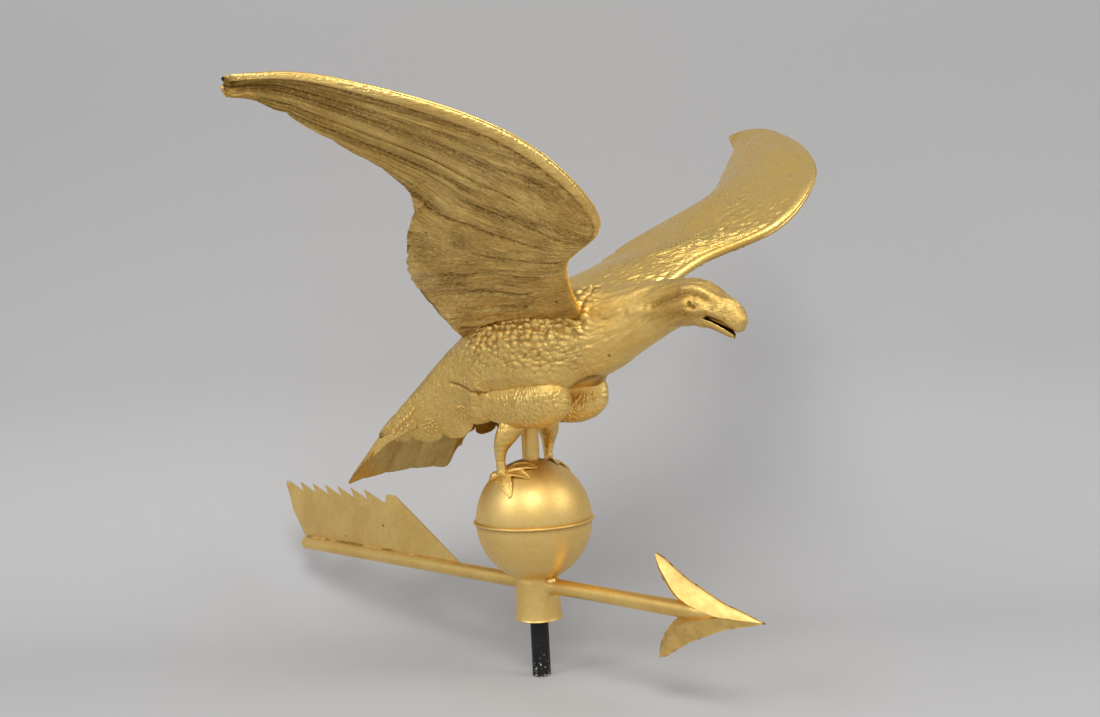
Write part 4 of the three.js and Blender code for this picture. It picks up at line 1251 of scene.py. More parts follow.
# %% Underside of the wing
dark_lines = [(14.2, 0.25, 0.95), (16.6, 0.10, 0.55), (11.3, 0.05, 0.60), (8.4, 0.3, 0.8), (19.4, 0.3, 0.9),
              (22.3, 0.25, 0.8), (6.2, 0.25, 0.7), (3.3, 0.35, 0.95), (2.1, 0.35, 0.9), (17.7, 0.5, 0.95)]


def underside_relief(s, t, points):
    along, number, chord_mm, span_mm = wing_measures(s, t)
    wander, between, strands = wing_strands(number, chord_mm, span_mm)
    crown, gutter, rolled = rolled_edge(along, chord_mm, 4.5)
    fade, worn = wing_rim(along, t, chord_mm, span_mm)
    cut = np.zeros_like(s)
    for line, first, last in dark_lines:
        here = smooth_step(first - 0.06, first + 0.06, t) * smooth_step(last + 0.06, last - 0.06, t)
        cut = np.maximum(cut, smooth_step(0.17, 0.03, np.abs(wander - line)) * here)
    web = (0.85 * strands - 0.6 * between - 1.6 * cut) * fade
    proud = smooth_step(0.34, 0.5, along)
    height = np.where(rolled, 2.8 * crown * proud, web - 0.9 * gutter * proud)
    blotch = smooth_noise(chord_mm / 30 + span_mm / 60, number * 1.1, 49)
    groove = 0.26 * smooth_step(0.1, 1.2, -strands) + 0.3 * between + 0.95 * cut
    groove = groove + 0.32 * smooth_step(0.0, 0.8, blotch) - 0.25 * smooth_step(0.1, 0.8, -blotch)
    groove = groove + 0.24 * smooth_step(0.5, 0.75, along)
    # Where the rolled edge is proud it gets no toning and stays light gold: painted highlight along it.
    groove = np.where(rolled, -0.9 * proud, groove + 0.5 * gutter * proud)
    return height, np.clip(mix(groove, 1, worn), -1, 1)


# %% [markdown]
# The upper side has small round feathers near the leading edge, and behind them and out to
# the tip it is nearly plain, with low rings that follow the edge.

# %% Upper side of the wing
def upper_relief(s, t, points):
    along, number, chord_mm, span_mm = wing_measures(s, t)
    _, between, strands = wing_strands(number, chord_mm, span_mm)
    crown, gutter, rolled = rolled_edge(along, chord_mm, 9.5)
    fade, worn = wing_rim(along, t, chord_mm, span_mm)
    warp = 6 * smooth_noise(chord_mm / 18, span_mm / 18, 51)
    lumps = nuggets(chord_mm * 1.05 + warp, span_mm + 0.25 * chord_mm - warp, 9.0, 8.2, 44)
    lumps = np.maximum(lumps, 0.6 * nuggets(chord_mm, span_mm, 5.2, 4.8, 52))
    small = nuggets(chord_mm, span_mm, 4.0, 3.6, 45)
    patchy = 0.12 * smooth_noise(chord_mm / 26, span_mm / 30, 53)
    inner = smooth_step(0.62, 0.40, t + patchy) * smooth_step(0.66, 0.44, along + patchy)
    inner = inner * smooth_step(0.05, 0.16, along)
    rings = np.cos(chord_mm * 1.15 + 1.2 * smooth_noise(chord_mm / 12, span_mm / 50, 50))
    hand = smooth_step(0.42, 0.62, along) * (1 - inner) * smooth_step(64, 40, chord_mm)
    plain = (1 - inner) * (0.14 * strands + 0.25 * small - 0.22 * between)
    web = (1.9 * inner * lumps + plain + 0.2 * rings * hand) * fade
    arm = mix(0.3, 1, smooth_step(0.6, 0.44, along))
    height = np.where(rolled, 1.7 * crown * arm * smooth_step(0.1, 0.3, along), web - 0.4 * gutter * arm)
    groove = inner * (0.6 * smooth_step(0.35, 0.05, lumps) - 0.4 * lumps)
    groove = groove + 0.22 * (1 - inner) * smooth_step(0.1, 1.2, -strands)
    groove = groove + 0.22 * hand * smooth_step(0.2, 0.9, -rings) + 0.3 * (1 - inner) * between
    # The whole upper side gets 0.4 less toning than the rest, so it is lighter: painted light.
    groove = np.where(rolled, 0.0, groove + 0.35 * gutter * arm) - 0.4
    return height, np.clip(mix(groove, 1, worn), -1, 1)


# %% [markdown]
# With the forms and the reliefs ready, each skin is laid once and mirrored for the right wing.
# The points crowd towards the leading edge, because it is the roundest place.

# %% Wings
def wing_flow(s, t, points):
    _, number, chord_mm, span_mm = wing_measures(s, t)
    return chord_mm + 0.3 * span_mm, number * 10


def crowded_chord(s, t):
    return s, mix(t * t, t, 0.55)


for face, where, relief, material in ((1, "upper", upper_relief, gilt_top_painted_light),
                                      (-1, "lower", underside_relief, gilt_under_painted_shade)):
    left = laid_sheet(f"left_wing_{where}", 320, 120, wing_form(face), relief,
                      outward=face, spread=crowded_chord, flow=wing_flow)
    right = mirrored_copy(left, f"right_wing_{where}")
    finish_piece(left, [f"left_wing_{where}_skin"], material)
    finish_piece(right, [f"right_wing_{where}_skin"], material)

# %% [markdown]
# ## Thighs, legs and toes
# A leg is a rod that swells into the thigh, with three leaf-shaped toes in front and a short
# one behind, which lie on the ball. Each is a tube along a line of points with its own
# thickness at each. A voxel remesh melts them and the thigh's egg into one casting, so that
# leg and thigh flow together.

# %% Limb tube
most_rings = 102  # the subdivide operator makes 100 cuts at most


def limb(name, line, sides, flat=1.0, dished=0.0, up=None):
    """A tube through points given as x, y, z and radius. Without `up` it lies on the ball."""
    places = np.linspace(0, len(line) - 1, min((len(line) - 1) * 6 + 1, most_rings))
    rings = table_at(line, places)
    heading = np.gradient(rings[:, :3], axis=0)
    heading /= np.linalg.norm(heading, axis=1)[:, None]
    up = rings[:, :3] if up is None else np.array(up, float)
    across = np.cross(heading, up)
    across /= np.linalg.norm(across, axis=1)[:, None]
    third = np.cross(heading, across)
    deselect()
    bpy.ops.mesh.primitive_cylinder_add(vertices=sides, end_fill_type="NGON")
    piece = bpy.context.object
    piece.name = name
    bpy.ops.object.mode_set(mode="EDIT")
    bpy.ops.mesh.select_mode(type="EDGE")
    bpy.ops.mesh.select_all(action="DESELECT")
    bpy.ops.object.mode_set(mode="OBJECT")
    for edge in piece.data.edges:
        a, b = (piece.data.vertices[i].co for i in edge.vertices)
        edge.select = abs(a.z - b.z) > 1
    bpy.ops.object.mode_set(mode="EDIT")
    bpy.ops.mesh.subdivide(number_cuts=len(rings) - 2)
    bpy.ops.mesh.select_mode(type="VERT")
    bpy.ops.object.mode_set(mode="OBJECT")
    unit = read_points(piece) * MM
    which = np.rint((unit[:, 2] + 1) / 2 * (len(rings) - 1)).astype(int)
    angle = np.arctan2(unit[:, 1], unit[:, 0])
    radius = rings[which, 3:4]
    rise = flat * np.sin(angle) * (1 - dished * smooth_step(0.45, 0.95, np.abs(np.sin(angle))))
    skin = (np.hypot(unit[:, 0], unit[:, 1]) > 0.5)[:, None]
    points = rings[which, :3] + radius * skin * (
        np.cos(angle)[:, None] * across[which] + rise[:, None] * third[which])
    write_points(piece, points + [0, 0, ball_centre])
    face_outwards(piece)
    return piece


# %% [markdown]
# The toes are pressed flat on the ball, so their lines are lifted off its surface by a third
# of their half width. The shank's line leans forward and inward as it nears the thigh.

# %% Leg and toe lines
ball_radius, ball_half_height = 60.4, 63.5
foot_x, foot_y = -8.0, 35.0
shank_radius = 5.5
toe_steps = [(0, 3.5), (0.14, 3.6), (0.3, 4.8), (0.46, 5.6), (0.6, 5.4), (0.72, 4.5), (0.84, 3.2),
             (0.93, 2.1), (1, 1.2)]


def ball_top(x, y):
    return ball_half_height * math.sqrt(1 - (x * x + y * y) / ball_radius ** 2)


def toe_line(turn, length, wide=1.0):
    """A leaf-shaped toe with a claw. Its steps are shares of its length and half widths."""
    angle = math.radians(turn)
    line = []
    for share, radius in toe_steps:
        x = foot_x + length * share * math.cos(angle)
        y = foot_y + length * share * math.sin(angle)
        raised = 1 + radius * 0.34 / ball_radius
        line.append((x * raised, y * raised, ball_top(x, y) * raised, radius * wide))
    return line


foot_z = ball_top(foot_x, foot_y)
shank_length = thigh_place[2] - thigh_size[2] + 5 - foot_z
shank_shares = [(0, 0, 0.02, 1.05), (-0.01, 0, 0.12, 0.92), (-0.02, 0, 0.28, 0.92), (-0.01, 0, 0.42, 1.15),
                (0.02, -0.01, 0.56, 1.5), (0.08, -0.06, 0.72, 1.95), (0.15, -0.15, 0.88, 2.2),
                (0.2, -0.24, 1, 2.1), (0.24, -0.32, 1.2, 1.6)]
shank_line = [(foot_x + forward * shank_length, foot_y + out * shank_length,
               foot_z + up * shank_length, thick * shank_radius)
              for forward, out, up, thick in shank_shares]
print("leg:", round(shank_length, 1), "mm from the ball into the thigh")

# %% [markdown]
# The casting's top leans in under the edge of the breast, so that edge stays a crisp line.
# Where leg and thigh meet, a Smooth modifier with a vertex group rounds the corner alone.

# %% Leg and thigh in one casting
def build_thigh_egg():
    deselect()
    bpy.ops.mesh.primitive_uv_sphere_add(segments=128, ring_count=64, radius=1)
    egg = bpy.context.object
    egg.name = "casting"
    unit = read_points(egg) * MM
    unit /= np.linalg.norm(unit, axis=1)[:, None]
    points = thigh_place + unit * thigh_reach(unit)[:, None]
    points[:, 1] -= 5 * smooth_step(0.0, -1, unit[:, 0])
    lean_height = 11  # the lean starts this far below the breast's edge
    lean = np.clip((points[:, 2] - crease_height(points[:, 0]) + lean_height) / lean_height, 0, None)
    points[:, 1] -= 5 * lean ** 2 + 0.6 * np.clip(lean_height * (lean - 1), 0, None)
    write_points(egg, points + [0, 0, ball_centre])
    return egg


def build_casting():
    egg = build_thigh_egg()
    parts = [egg, limb("shank", shank_line, 36, up=(1, 0, 0))]
    for turn, length, wide in ((-33, 38, 1.18), (-9, 35, 1.18), (30, 30, 1.3)):
        parts.append(limb("toe", toe_line(turn, length, wide), 36, 0.6 / wide, 0.75))
    parts.append(limb("toe", toe_line(172, 17, 0.9), 28, 0.9, 0.2))
    deselect()
    for part in parts:
        part.select_set(True)
    bpy.context.view_layer.objects.active = egg
    bpy.ops.object.join()
    melt = egg.modifiers.new("melt", "REMESH")
    melt.mode = "VOXEL"
    melt.voxel_size = 0.62 * MM
    even = egg.modifiers.new("even", "SMOOTH")
    even.iterations = 2
    apply_modifiers(egg)
    heights = read_points(egg)[:, 2] - ball_centre
    corner = egg.vertex_groups.new(name="corner")
    near = smooth_step(86, 102, heights) * smooth_step(116, 108, heights)
    for vertex in np.nonzero(near > 0.02)[0]:
        corner.add([int(vertex)], float(near[vertex]), "REPLACE")
    soften = egg.modifiers.new("soften", "SMOOTH")
    soften.factor = 0.6
    soften.iterations = 36
    soften.vertex_group = "corner"
    apply_modifiers(egg)
    return egg


# %% [markdown]
# The casting gets its surface last: shaggy tufts on the thigh, wrinkles on the leg, a fillet
# where the thigh meets the body, and brown toning where the toes meet the ball. The way to
# the body's skin is measured with a BVH tree, Blender's quick search for the nearest face.

# %% Grain on the casting
def gap_to(piece, points):
    """How far points are outside a piece's skin, less than 0 inside it."""
    tree = BVHTree.FromObject(piece, bpy.context.evaluated_depsgraph_get())
    gaps = np.empty(len(points))
    for number, point in enumerate(points * MM):
        place, normal, _, distance = tree.find_nearest(Vector(point))
        gaps[number] = math.copysign(distance, (Vector(point) - place).dot(normal)) / MM
    return gaps


def grain_casting(piece):
    points = read_points(piece) - [0, 0, ball_centre]
    x, y, z = points.T
    normals = np.empty(len(points) * 3)
    piece.data.vertices.foreach_get("normal", normals)
    body_gap = gap_to(body_left, points + [0, 0, ball_centre])
    shaggy = smooth_step(92, 102, z)
    tufts = nuggets(-z + 200, x, 4.6, 3.2, 51)
    grain = stipple(points, 1.7, 52)
    clear = smooth_step(2, 6, body_gap)
    wrinkle = smooth_noise(z / 2.6, x / 5 + y / 7, 61) * smooth_step(56, 62, z) * (1 - shaggy)
    height = fillet(body_gap, 10) * smooth_step(106, 116, z)
    height += (0.75 * tufts + 0.2 * grain - 0.2) * clear * shaggy + 0.18 * wrinkle
    write_points(piece, points + normals.reshape(-1, 3) * height[:, None] + [0, 0, ball_centre])
    above = z - ball_half_height * np.sqrt(np.clip(1 - (x * x + y * y) / ball_radius ** 2, 0, 1))
    groove = (0.42 * smooth_step(0.4, 0.05, tufts) + 0.15 * smooth_step(0.1, 0.9, -grain)) * clear * shaggy
    groove += 0.25 * smooth_step(0.2, 0.9, -wrinkle) + 0.8 * smooth_step(1.0, 0.2, above) * (z < 62)
    # A dark line along the thigh's top, just under the breast's edge: painted shade in the crease.
    groove += 0.8 * smooth_step(2.0, 0, body_gap) * smooth_step(137, 141, z) * smooth_step(-24, 0, x)
    write_attribute(piece, "groove", np.clip(groove - 0.3 * shaggy, -1, 1))
    write_flow(piece, z, x + y)


# %% [markdown]
# A bisect at a level plane cuts the casting into thigh and leg, and fills both cuts.

# %% Thighs and legs
leg_top = 100.0


def cut_part(piece, name, above):
    """The part of the casting above or below a level plane through the top of the leg."""
    only(piece)
    bpy.ops.object.duplicate()
    part = bpy.context.object
    part.name = name
    bpy.ops.object.mode_set(mode="EDIT")
    bpy.ops.mesh.select_all(action="SELECT")
    bpy.ops.mesh.bisect(plane_co=(0, 0, (ball_centre + leg_top) * MM), plane_no=(0, 0, 1), use_fill=True,
                        clear_inner=above, clear_outer=not above)
    bpy.ops.object.mode_set(mode="OBJECT")
    smooth_by_angle(part, 60)
    return part


casting = build_casting()
grain_casting(casting)
thigh_left, leg_left = cut_part(casting, "thigh_left", True), cut_part(casting, "leg_left", False)
bpy.data.objects.remove(casting)
thigh_right, leg_right = mirrored_copy(thigh_left, "thigh_right"), mirrored_copy(leg_left, "leg_right")
for piece, node in ((thigh_left, "left_thigh"), (thigh_right, "right_thigh"),
                    (leg_left, "left_leg"), (leg_right, "right_leg")):
    finish_piece(piece, [node], gilt_plumage)

# %% [markdown]
# ## Ball
# Two spun half balls. The upper one closes over the lower one with a narrow rolled seam.
# A sphere is cut at its middle with bisect, and again near its pole, where the tube goes
# through. That gives a half with two open rims, and a Solidify modifier makes its thin wall.

# %% Ball halves
seam_gap, tube_hole = 0.15, 59.6


def build_half_ball(name, side):
    """side is 1 for the upper half and -1 for the lower one."""
    deselect()
    bpy.ops.mesh.primitive_uv_sphere_add(segments=144, ring_count=72, radius=ball_radius * MM)
    piece = bpy.context.object
    piece.name = name
    bpy.ops.object.mode_set(mode="EDIT")
    bpy.ops.mesh.select_all(action="SELECT")
    bpy.ops.mesh.bisect(plane_co=(0, 0, side * seam_gap * MM), plane_no=(0, 0, 1), clear_inner=side > 0,
                        clear_outer=side < 0)
    bpy.ops.mesh.select_all(action="SELECT")
    bpy.ops.mesh.bisect(plane_co=(0, 0, side * tube_hole * MM), plane_no=(0, 0, 1), clear_inner=side < 0,
                        clear_outer=side > 0)
    bpy.ops.object.mode_set(mode="OBJECT")
    points = read_points(piece) * [1, 1, ball_half_height / ball_radius]
    ring = np.hypot(points[:, 0], points[:, 1])
    turn = np.arctan2(points[:, 1], points[:, 0])
    dents = smooth_noise(turn * 60 / 9, points[:, 2] / 9, 71) * 0.10
    normal = points / np.linalg.norm(points, axis=1)[:, None]
    write_points(piece, points + normal * (dents - 0.1)[:, None] + [0, 0, ball_centre])
    # The band just below the seam is toned more than the one above it: toning at the seam, with painted
    # shade under the bead.
    near_seam = (0.35 if side > 0 else 0.8) * smooth_step(4.5, 1.0, np.abs(points[:, 2]))
    near_tube = 0.9 * smooth_step(38, 10, ring) * (side > 0)
    write_attribute(piece, "groove", np.maximum(near_seam, near_tube))
    wall = piece.modifiers.new("wall", "SOLIDIFY")
    wall.thickness = 1 * MM
    wall.offset = -1
    apply_modifiers(piece)
    bpy.ops.object.shade_smooth()
    return piece


ball_upper = build_half_ball("ball_upper", 1)
ball_lower = build_half_ball("ball_lower", -1)
finish_piece(ball_upper, ["ball_upper_half"], gilt_ball)
finish_piece(ball_lower, ["ball_lower_half"], gilt_ball)

# %% [markdown]
# The seam is a ring of its own: a torus that is flatter on top and wobbles a little, as one
# that was rolled by hand.

# %% Seam bead
def build_seam_bead():
    deselect()
    bpy.ops.mesh.primitive_torus_add(major_radius=(ball_radius + 0.6) * MM, minor_radius=1.9 * MM,
                                     major_segments=200, minor_segments=20)
    bead = bpy.context.object
    bead.name = "ball_seam"
    points = read_points(bead)
    turn = np.arctan2(points[:, 1], points[:, 0])
    wobble = 1 + 0.05 * smooth_noise(turn * 12, points[:, 2] * 0, 72)
    points[:, 2] *= np.where(points[:, 2] > 0, 0.75, 1.0) * wobble
    write_points(bead, points + [0, 0, ball_centre])
    # The bead's underside is toned darker: painted shade under it.
    write_attribute(bead, "groove", 0.8 * smooth_step(0.0, -1.4, points[:, 2]))
    bpy.ops.object.shade_smooth()
    return bead


finish_piece(build_seam_bead(), ["ball_seam_bead"], gilt_ball)

# %% [markdown]
# ## Turned pieces
# The collar, the tube, the spindle and the shafts are round. A circle is added at the first
# point of the profile, and each next ring is an extrude, a move and a scale about the axis.

# %% Turned helper
def turned(name, profile, sides):
    """A round piece from a closed profile of radius and height, in millimetres."""
    deselect()
    radius, height = profile[0]
    bpy.ops.mesh.primitive_circle_add(vertices=sides, radius=radius * MM, location=(0, 0, height * MM))
    piece = bpy.context.object
    piece.name = name
    bpy.ops.object.transform_apply(location=True)
    bpy.ops.object.mode_set(mode="EDIT")
    bpy.ops.mesh.select_all(action="SELECT")
    for next_radius, next_height in profile[1:]:
        bpy.ops.mesh.extrude_edges_move(
            TRANSFORM_OT_translate={"value": (0, 0, (next_height - height) * MM)})
        share = next_radius / radius
        bpy.ops.transform.resize(value=(share, share, 1), center_override=(0, 0, 0))
        radius, height = next_radius, next_height
    bpy.ops.mesh.select_all(action="SELECT")
    bpy.ops.mesh.remove_doubles(threshold=0.01 * MM)
    bpy.ops.mesh.normals_make_consistent(inside=False)
    bpy.ops.object.mode_set(mode="OBJECT")
    return piece


def arc(centre, radius, start, stop, count=6):
    """Points of a round edge, for a profile. Angles are in degrees."""
    angles = np.radians(np.linspace(start, stop, count))
    return [(centre[0] + radius * math.cos(a), centre[1] + radius * math.sin(a)) for a in angles]


# %% [markdown]
# The collar has a slightly flared foot with a rounded lip, and a bead of solder on top where
# the ball rests.

# %% Collar and its solder
def build_collar():
    bore, foot_radius, top_radius, low, high = 20.0, 24.3, 23.0, 61.0, 105.0
    profile = [(bore, low)]
    profile += arc((foot_radius + 0.3, low + 0.5), 0.5, -90, 60, 5)
    profile += [(foot_radius + 0.15, low + 2.4), (23.6, low + 9), (23.15, low + 18)]
    profile += [(top_radius, low + 26), (top_radius, low + 38), (top_radius, high - 1.0)]
    profile += [(top_radius - 0.5, high - 0.35), (bore + 0.6, high - 0.35), (bore, high - 1), (bore, low)]
    return turned("collar", profile, 128)


collar = build_collar()
smooth_by_angle(collar)
finish_piece(collar, ["hub_collar"], gilt_flat)

ring_profile = [(20.8, 104.9), *arc((21.6, 105.2), 1.1, -80, 100, 8), (20.8, 106.2), (20.8, 104.9)]
solder_ring = turned("solder_ring", ring_profile, 96)
smooth_by_angle(solder_ring, 60)
finish_piece(solder_ring, ["hub_collar"], solder)

# %% [markdown]
# The tube turns round the spindle's thin upper end. The spindle is thick below, where it
# shows, and both edges of its thick part are rounded.

# %% Centre tube and spindle
bore, wall_radius, tube_low, tube_high = 7.3, 8.9, 95.6, 366.8
tube_profile = [(bore, tube_low), (wall_radius, tube_low), (wall_radius, tube_high), (bore, tube_high),
                (bore, tube_low)]
tube = turned("centre_tube", tube_profile, 64)
smooth_by_angle(tube)
finish_piece(tube, ["pivot_tube"], gilt_flat)

neck_radius, shoulder_height, spindle_top = 6.35, 95, 348.5
axis = 0.01  # stands for a radius of 0, which a ring can't grow from
spindle_profile = [(axis, 0), *arc((8.325, 1.2), 1.2, -90, 0, 6), *arc((8.325, 93.8), 1.2, 0, 90, 6),
                   (neck_radius, shoulder_height), (neck_radius, spindle_top), (axis, spindle_top)]
spindle = turned("spindle", spindle_profile, 72)
smooth_by_angle(spindle)
finish_piece(spindle, ["spindle_rod"], painted_iron, "mast")

# %% [markdown]
# ## Arrow
# The arrow's shafts are thin tubes that end in a solder fillet on the collar. They are
# turned upright like the rest, and their points are then laid along the arrow.

# %% Arrow shafts
shaft_drop = 67.5
shaft_height = ball_centre - shaft_drop
shaft_radius = 7.9375
front_length, rear_length = 192.9, 407


def lay_along(piece, heading):
    """Lay an upright turned piece along the arrow. heading is 1 to the front, -1 to the rear."""
    points = read_points(piece)
    laid = np.stack([heading * points[:, 2], points[:, 1], heading * -points[:, 0]], axis=1)
    write_points(piece, laid + [0, 0, shaft_height])
    face_outwards(piece)


def shaft_profile(length):
    """From the collar out: a flare of solder, then even rings of tube, and back in the bore."""
    bore, start, plain, rings = shaft_radius - 1.2, 20.5, 29, 24
    flare = [(shaft_radius + 3.0, start), (shaft_radius + 1.9, 22.6), (shaft_radius + 1.0, 24.4),
             (shaft_radius + 0.35, 26.6), (shaft_radius, plain)]
    steps = [(shaft_radius, plain + (length - plain) * n / rings) for n in range(1, rings + 1)]
    return [(bore, start), *flare, *steps, (bore, length), (bore, start)]


def build_shaft(name, length, heading):
    piece = turned(name, shaft_profile(length), 64)
    points = read_points(piece)
    away = points[:, 2:3]
    outer = (np.hypot(points[:, 0], points[:, 1]) > shaft_radius - 0.5)[:, None]
    lumps = smooth_noise(away[:, 0] / 17, np.arctan2(points[:, 1], points[:, 0]), 81)[:, None]
    points[:, :2] += points[:, :2] / shaft_radius * 0.12 * lumps * outer
    write_points(piece, points)
    lay_along(piece, heading)
    smooth_by_angle(piece)
    return piece


shaft_front = build_shaft("shaft_front", front_length, 1)
shaft_rear = build_shaft("shaft_rear", rear_length, -1)
finish_piece(shaft_front, ["arrow_shaft_front"], gilt_flat)
finish_piece(shaft_rear, ["arrow_shaft_rear"], gilt_flat)

# %% [markdown]
# A cone closes the front shaft and carries the arrow head, and a lump of solder was left
# where the shaft meets the collar.

# %% Socket of the arrow head, and the lump of solder
socket_profile = [(axis, front_length), (7.94, front_length), (8.2, 198), (8.2, 204), (7.9, 210)]
socket_profile += [(7.2, 216), (6.1, 222), (4.6, 228), (2.9, 233), (1.2, 237), (axis, 239)]
socket = turned("head_socket", socket_profile, 64)
lay_along(socket, 1)
smooth_by_angle(socket, 60)
finish_piece(socket, ["arrow_shaft_front"], gilt_flat)


def build_solder_lump():
    deselect()
    bpy.ops.mesh.primitive_uv_sphere_add(segments=48, ring_count=24, radius=1)
    piece = bpy.context.object
    piece.name = "solder_lump"
    unit = read_points(piece) * MM
    lumps = 1 + 0.22 * smooth_noise(unit[:, 0] * 2 + unit[:, 2], unit[:, 1] * 2 - unit[:, 2], 83)
    points = unit * [4.8, 5.0, 3.8] * lumps[:, None]
    write_points(piece, points + [25.2, -6.0, ball_centre - 60.2])
    smooth_by_angle(piece, 80)
    return piece


finish_piece(build_solder_lump(), ["arrow_shaft_front"], solder)

# %% [markdown]
# The rear shaft is closed by a plug with a rounded head, which is pushed in from behind.

# %% Plug in the rear end
plug_start, plug_radius, head_start = 399, 6.4, 407.3
plug_profile = [(axis, plug_start), (plug_radius, plug_start), (plug_radius, head_start)]
plug_profile += [(shaft_radius, head_start), (shaft_radius, 410.5), (7.4, 413), (6.2, 414.3)]
plug_profile += [(4.2, 415.0), (axis, 415.2)]
plug = turned("shaft_plug", plug_profile, 64)
lay_along(plug, -1)
smooth_by_angle(plug)
finish_piece(plug, ["arrow_shaft_plug"], gilt_flat)

# %% [markdown]
# ## Arrow head
# The head is two pressed halves. On each half a crest runs from the tip into each barb, and
# the metal is hollow on both sides of it, so light falls off sharply at the crest. A row of
# the table gives the outer edge, the inner edge, and the crest's place and height.

# %% Arrow head
arrow_tip, arrow_head_length, barb_reach, crest_height = 280, 121, 50.5, 9.85
head_ribs = np.array([
    [0, 0, 0, 0, 0, 0],
    [0.19, 0.14, 0.19, 0, 0, 0.4],
    [0.34, 0.235, 0.36, 0, 0, 0.7],
    [0.45, 0.34, 0.52, 0, 0.22, 0.95],
    [0.57, 0.47, 0.66, 0, 0.32, 1],
    [0.69, 0.6, 0.8, 0.17, 0.34, 0.9],
    [0.79, 0.74, 0.9, 0.4, 0.42, 0.7],
    [0.92, 0.94, 0.975, 0.7, 0.42, 0.35],
    [1, 1, 1, 1, 0.5, 0],
])


def barb_form(up_side):
    def form(s, t):
        rib = s * (len(head_ribs) - 1)
        out_x, out_up, in_x, in_up, crest, high = table_at(head_ribs, rib).T
        in_up = np.where(rib <= 4, 0, in_up)
        outer = np.stack([arrow_tip - out_x * arrow_head_length, out_up * barb_reach], axis=1)
        inner = np.stack([arrow_tip - in_x * arrow_head_length, in_up * barb_reach], axis=1)
        crest = np.clip(np.where(rib <= 2, 0, crest), 0, 1)
        place = mix(inner, outer, t[:, None])
        towards = np.where(t <= crest, t / np.maximum(crest, 1e-6), (1 - t) / np.maximum(1 - crest, 1e-6))
        hollow = towards ** 1.25
        height = 0.15 + np.clip(high, 0, 1) * crest_height * hollow
        return np.stack([place[:, 0], height, up_side * place[:, 1] - shaft_drop], axis=1)
    return form


def barb_relief(s, t, points):
    grain = stipple(points, 6.0, 91)
    rim = smooth_step(0.05, 0.01, np.minimum(t, 1 - t))
    chips = rim * smooth_step(0.2, 0.6, smooth_noise(s * 30, t * 0, 92))
    chips = np.maximum(chips, smooth_step(0.03, 0.01, s))
    chips = np.maximum(chips, smooth_step(0.985, 0.995, s))
    return 0.08 * grain * np.minimum(1, 8 * np.minimum(t, 1 - t)), np.clip(0.1 + 0.2 * grain + chips, 0, 1)


def build_head_half(name):
    halves = [laid_sheet(name, 120, 60, barb_form(side), barb_relief, outward=side) for side in (1, -1)]
    deselect()
    for half in halves:
        half.select_set(True)
    bpy.context.view_layer.objects.active = halves[0]
    bpy.ops.object.join()
    piece = bpy.context.object
    piece.name = name
    smooth_by_angle(piece, 30)
    return piece


arrow_left = build_head_half("arrow_head_left")
arrow_right = mirrored_copy(arrow_left, "arrow_head_right")
finish_piece(arrow_left, ["arrow_head_left_half"], gilt_flat)
finish_piece(arrow_right, ["arrow_head_right_half"], gilt_flat)

# %% [markdown]
# ## Fletching
# The fletching is one flat sheet with seven saw teeth, cut out with shears. A filled circle
# has one point for each corner of the outline, and its points move there. A Solidify modifier
# gives the sheet its thickness, and a bevel rounds the cut edges.

# %% Fletching
rear_end, sheet_height, sheet_thickness = 448, 69, 1.6
tooth_count, tooth_pitch, tooth_depth, tooth_run = 7, 26.3, 12, 6.5
first_valley = -437
slant = ((0.95, 0.24), (0.975, 0.47), (0.989, 0.75), (1, 0.9))
shoulder = ((0.551, 0.8), (0.543, 0.95), (0.526, 0.965), (0.505, 0.95))


def fletching_outline():
    """Round the sheet: the foot, the slanting rear, the teeth, and the shoulder in front."""
    foot_height = shaft_height + shaft_radius + 0.3
    top = foot_height + sheet_height
    outline = [(-120, foot_height), (-413, foot_height)]
    outline += [(-along * rear_end, foot_height + up * sheet_height) for along, up in slant]
    outline.append((-rear_end, top))
    for n in range(tooth_count):
        valley = first_valley + n * tooth_pitch
        outline += [(valley, top - tooth_depth), (valley - tooth_run, top)]
    return outline + [(-along * rear_end, foot_height + up * sheet_height) for along, up in shoulder]


def build_fletching():
    outline = fletching_outline()
    deselect()
    bpy.ops.mesh.primitive_circle_add(vertices=len(outline), fill_type="NGON")
    piece = bpy.context.object
    piece.name = "fletching"
    write_points(piece, np.array([(x, sheet_thickness / 2, z) for x, z in outline]))
    thick = piece.modifiers.new("thick", "SOLIDIFY")
    thick.thickness = sheet_thickness * MM
    thick.offset = 0
    apply_modifiers(piece)
    points = read_points(piece)
    points[:, 1] -= points[:, 1].mean()
    write_points(piece, points)
    edge = piece.modifiers.new("edge", "BEVEL")
    edge.width = 0.3 * MM
    edge.segments = 2
    apply_modifiers(piece)
    smooth_by_angle(piece)
    return piece


fletching = build_fletching()
finish_piece(fletching, ["arrow_fletching"], gilt_flat)

# %% [markdown]
# A line of solder holds the sheet in the shaft. It was brushed on by hand, so its width and
# its dark toning come and go along the joint.

# %% Solder along the fletching
joint_front, joint_rear, joint_height = -196, -407, -59.7


def build_fletching_joint():
    places = np.linspace(joint_rear, joint_front, 54)
    widths = 1.9 + 0.45 * smooth_noise(places / 11, places * 0, 84)
    line = [(x, 0, joint_height, width) for x, width in zip(places, widths)]
    piece = limb("fletching_joint", line, 16, up=(0, 0, 1))
    x = read_points(piece)[:, 0]
    toning = smooth_step(-0.35, 0.35, smooth_noise(x / 13, x * 0, 85))
    write_attribute(piece, "groove", 0.95 * toning * smooth_step(joint_front, -240, x))
    smooth_by_angle(piece, 60)
    return piece


finish_piece(build_fletching_joint(), ["arrow_fletching"], gilt_flat)

# %% [markdown]
# ## CAD pieces that stay
# The pieces inside the bird and the hub keep their CAD shape, which is right as it is, and
# get their metals.

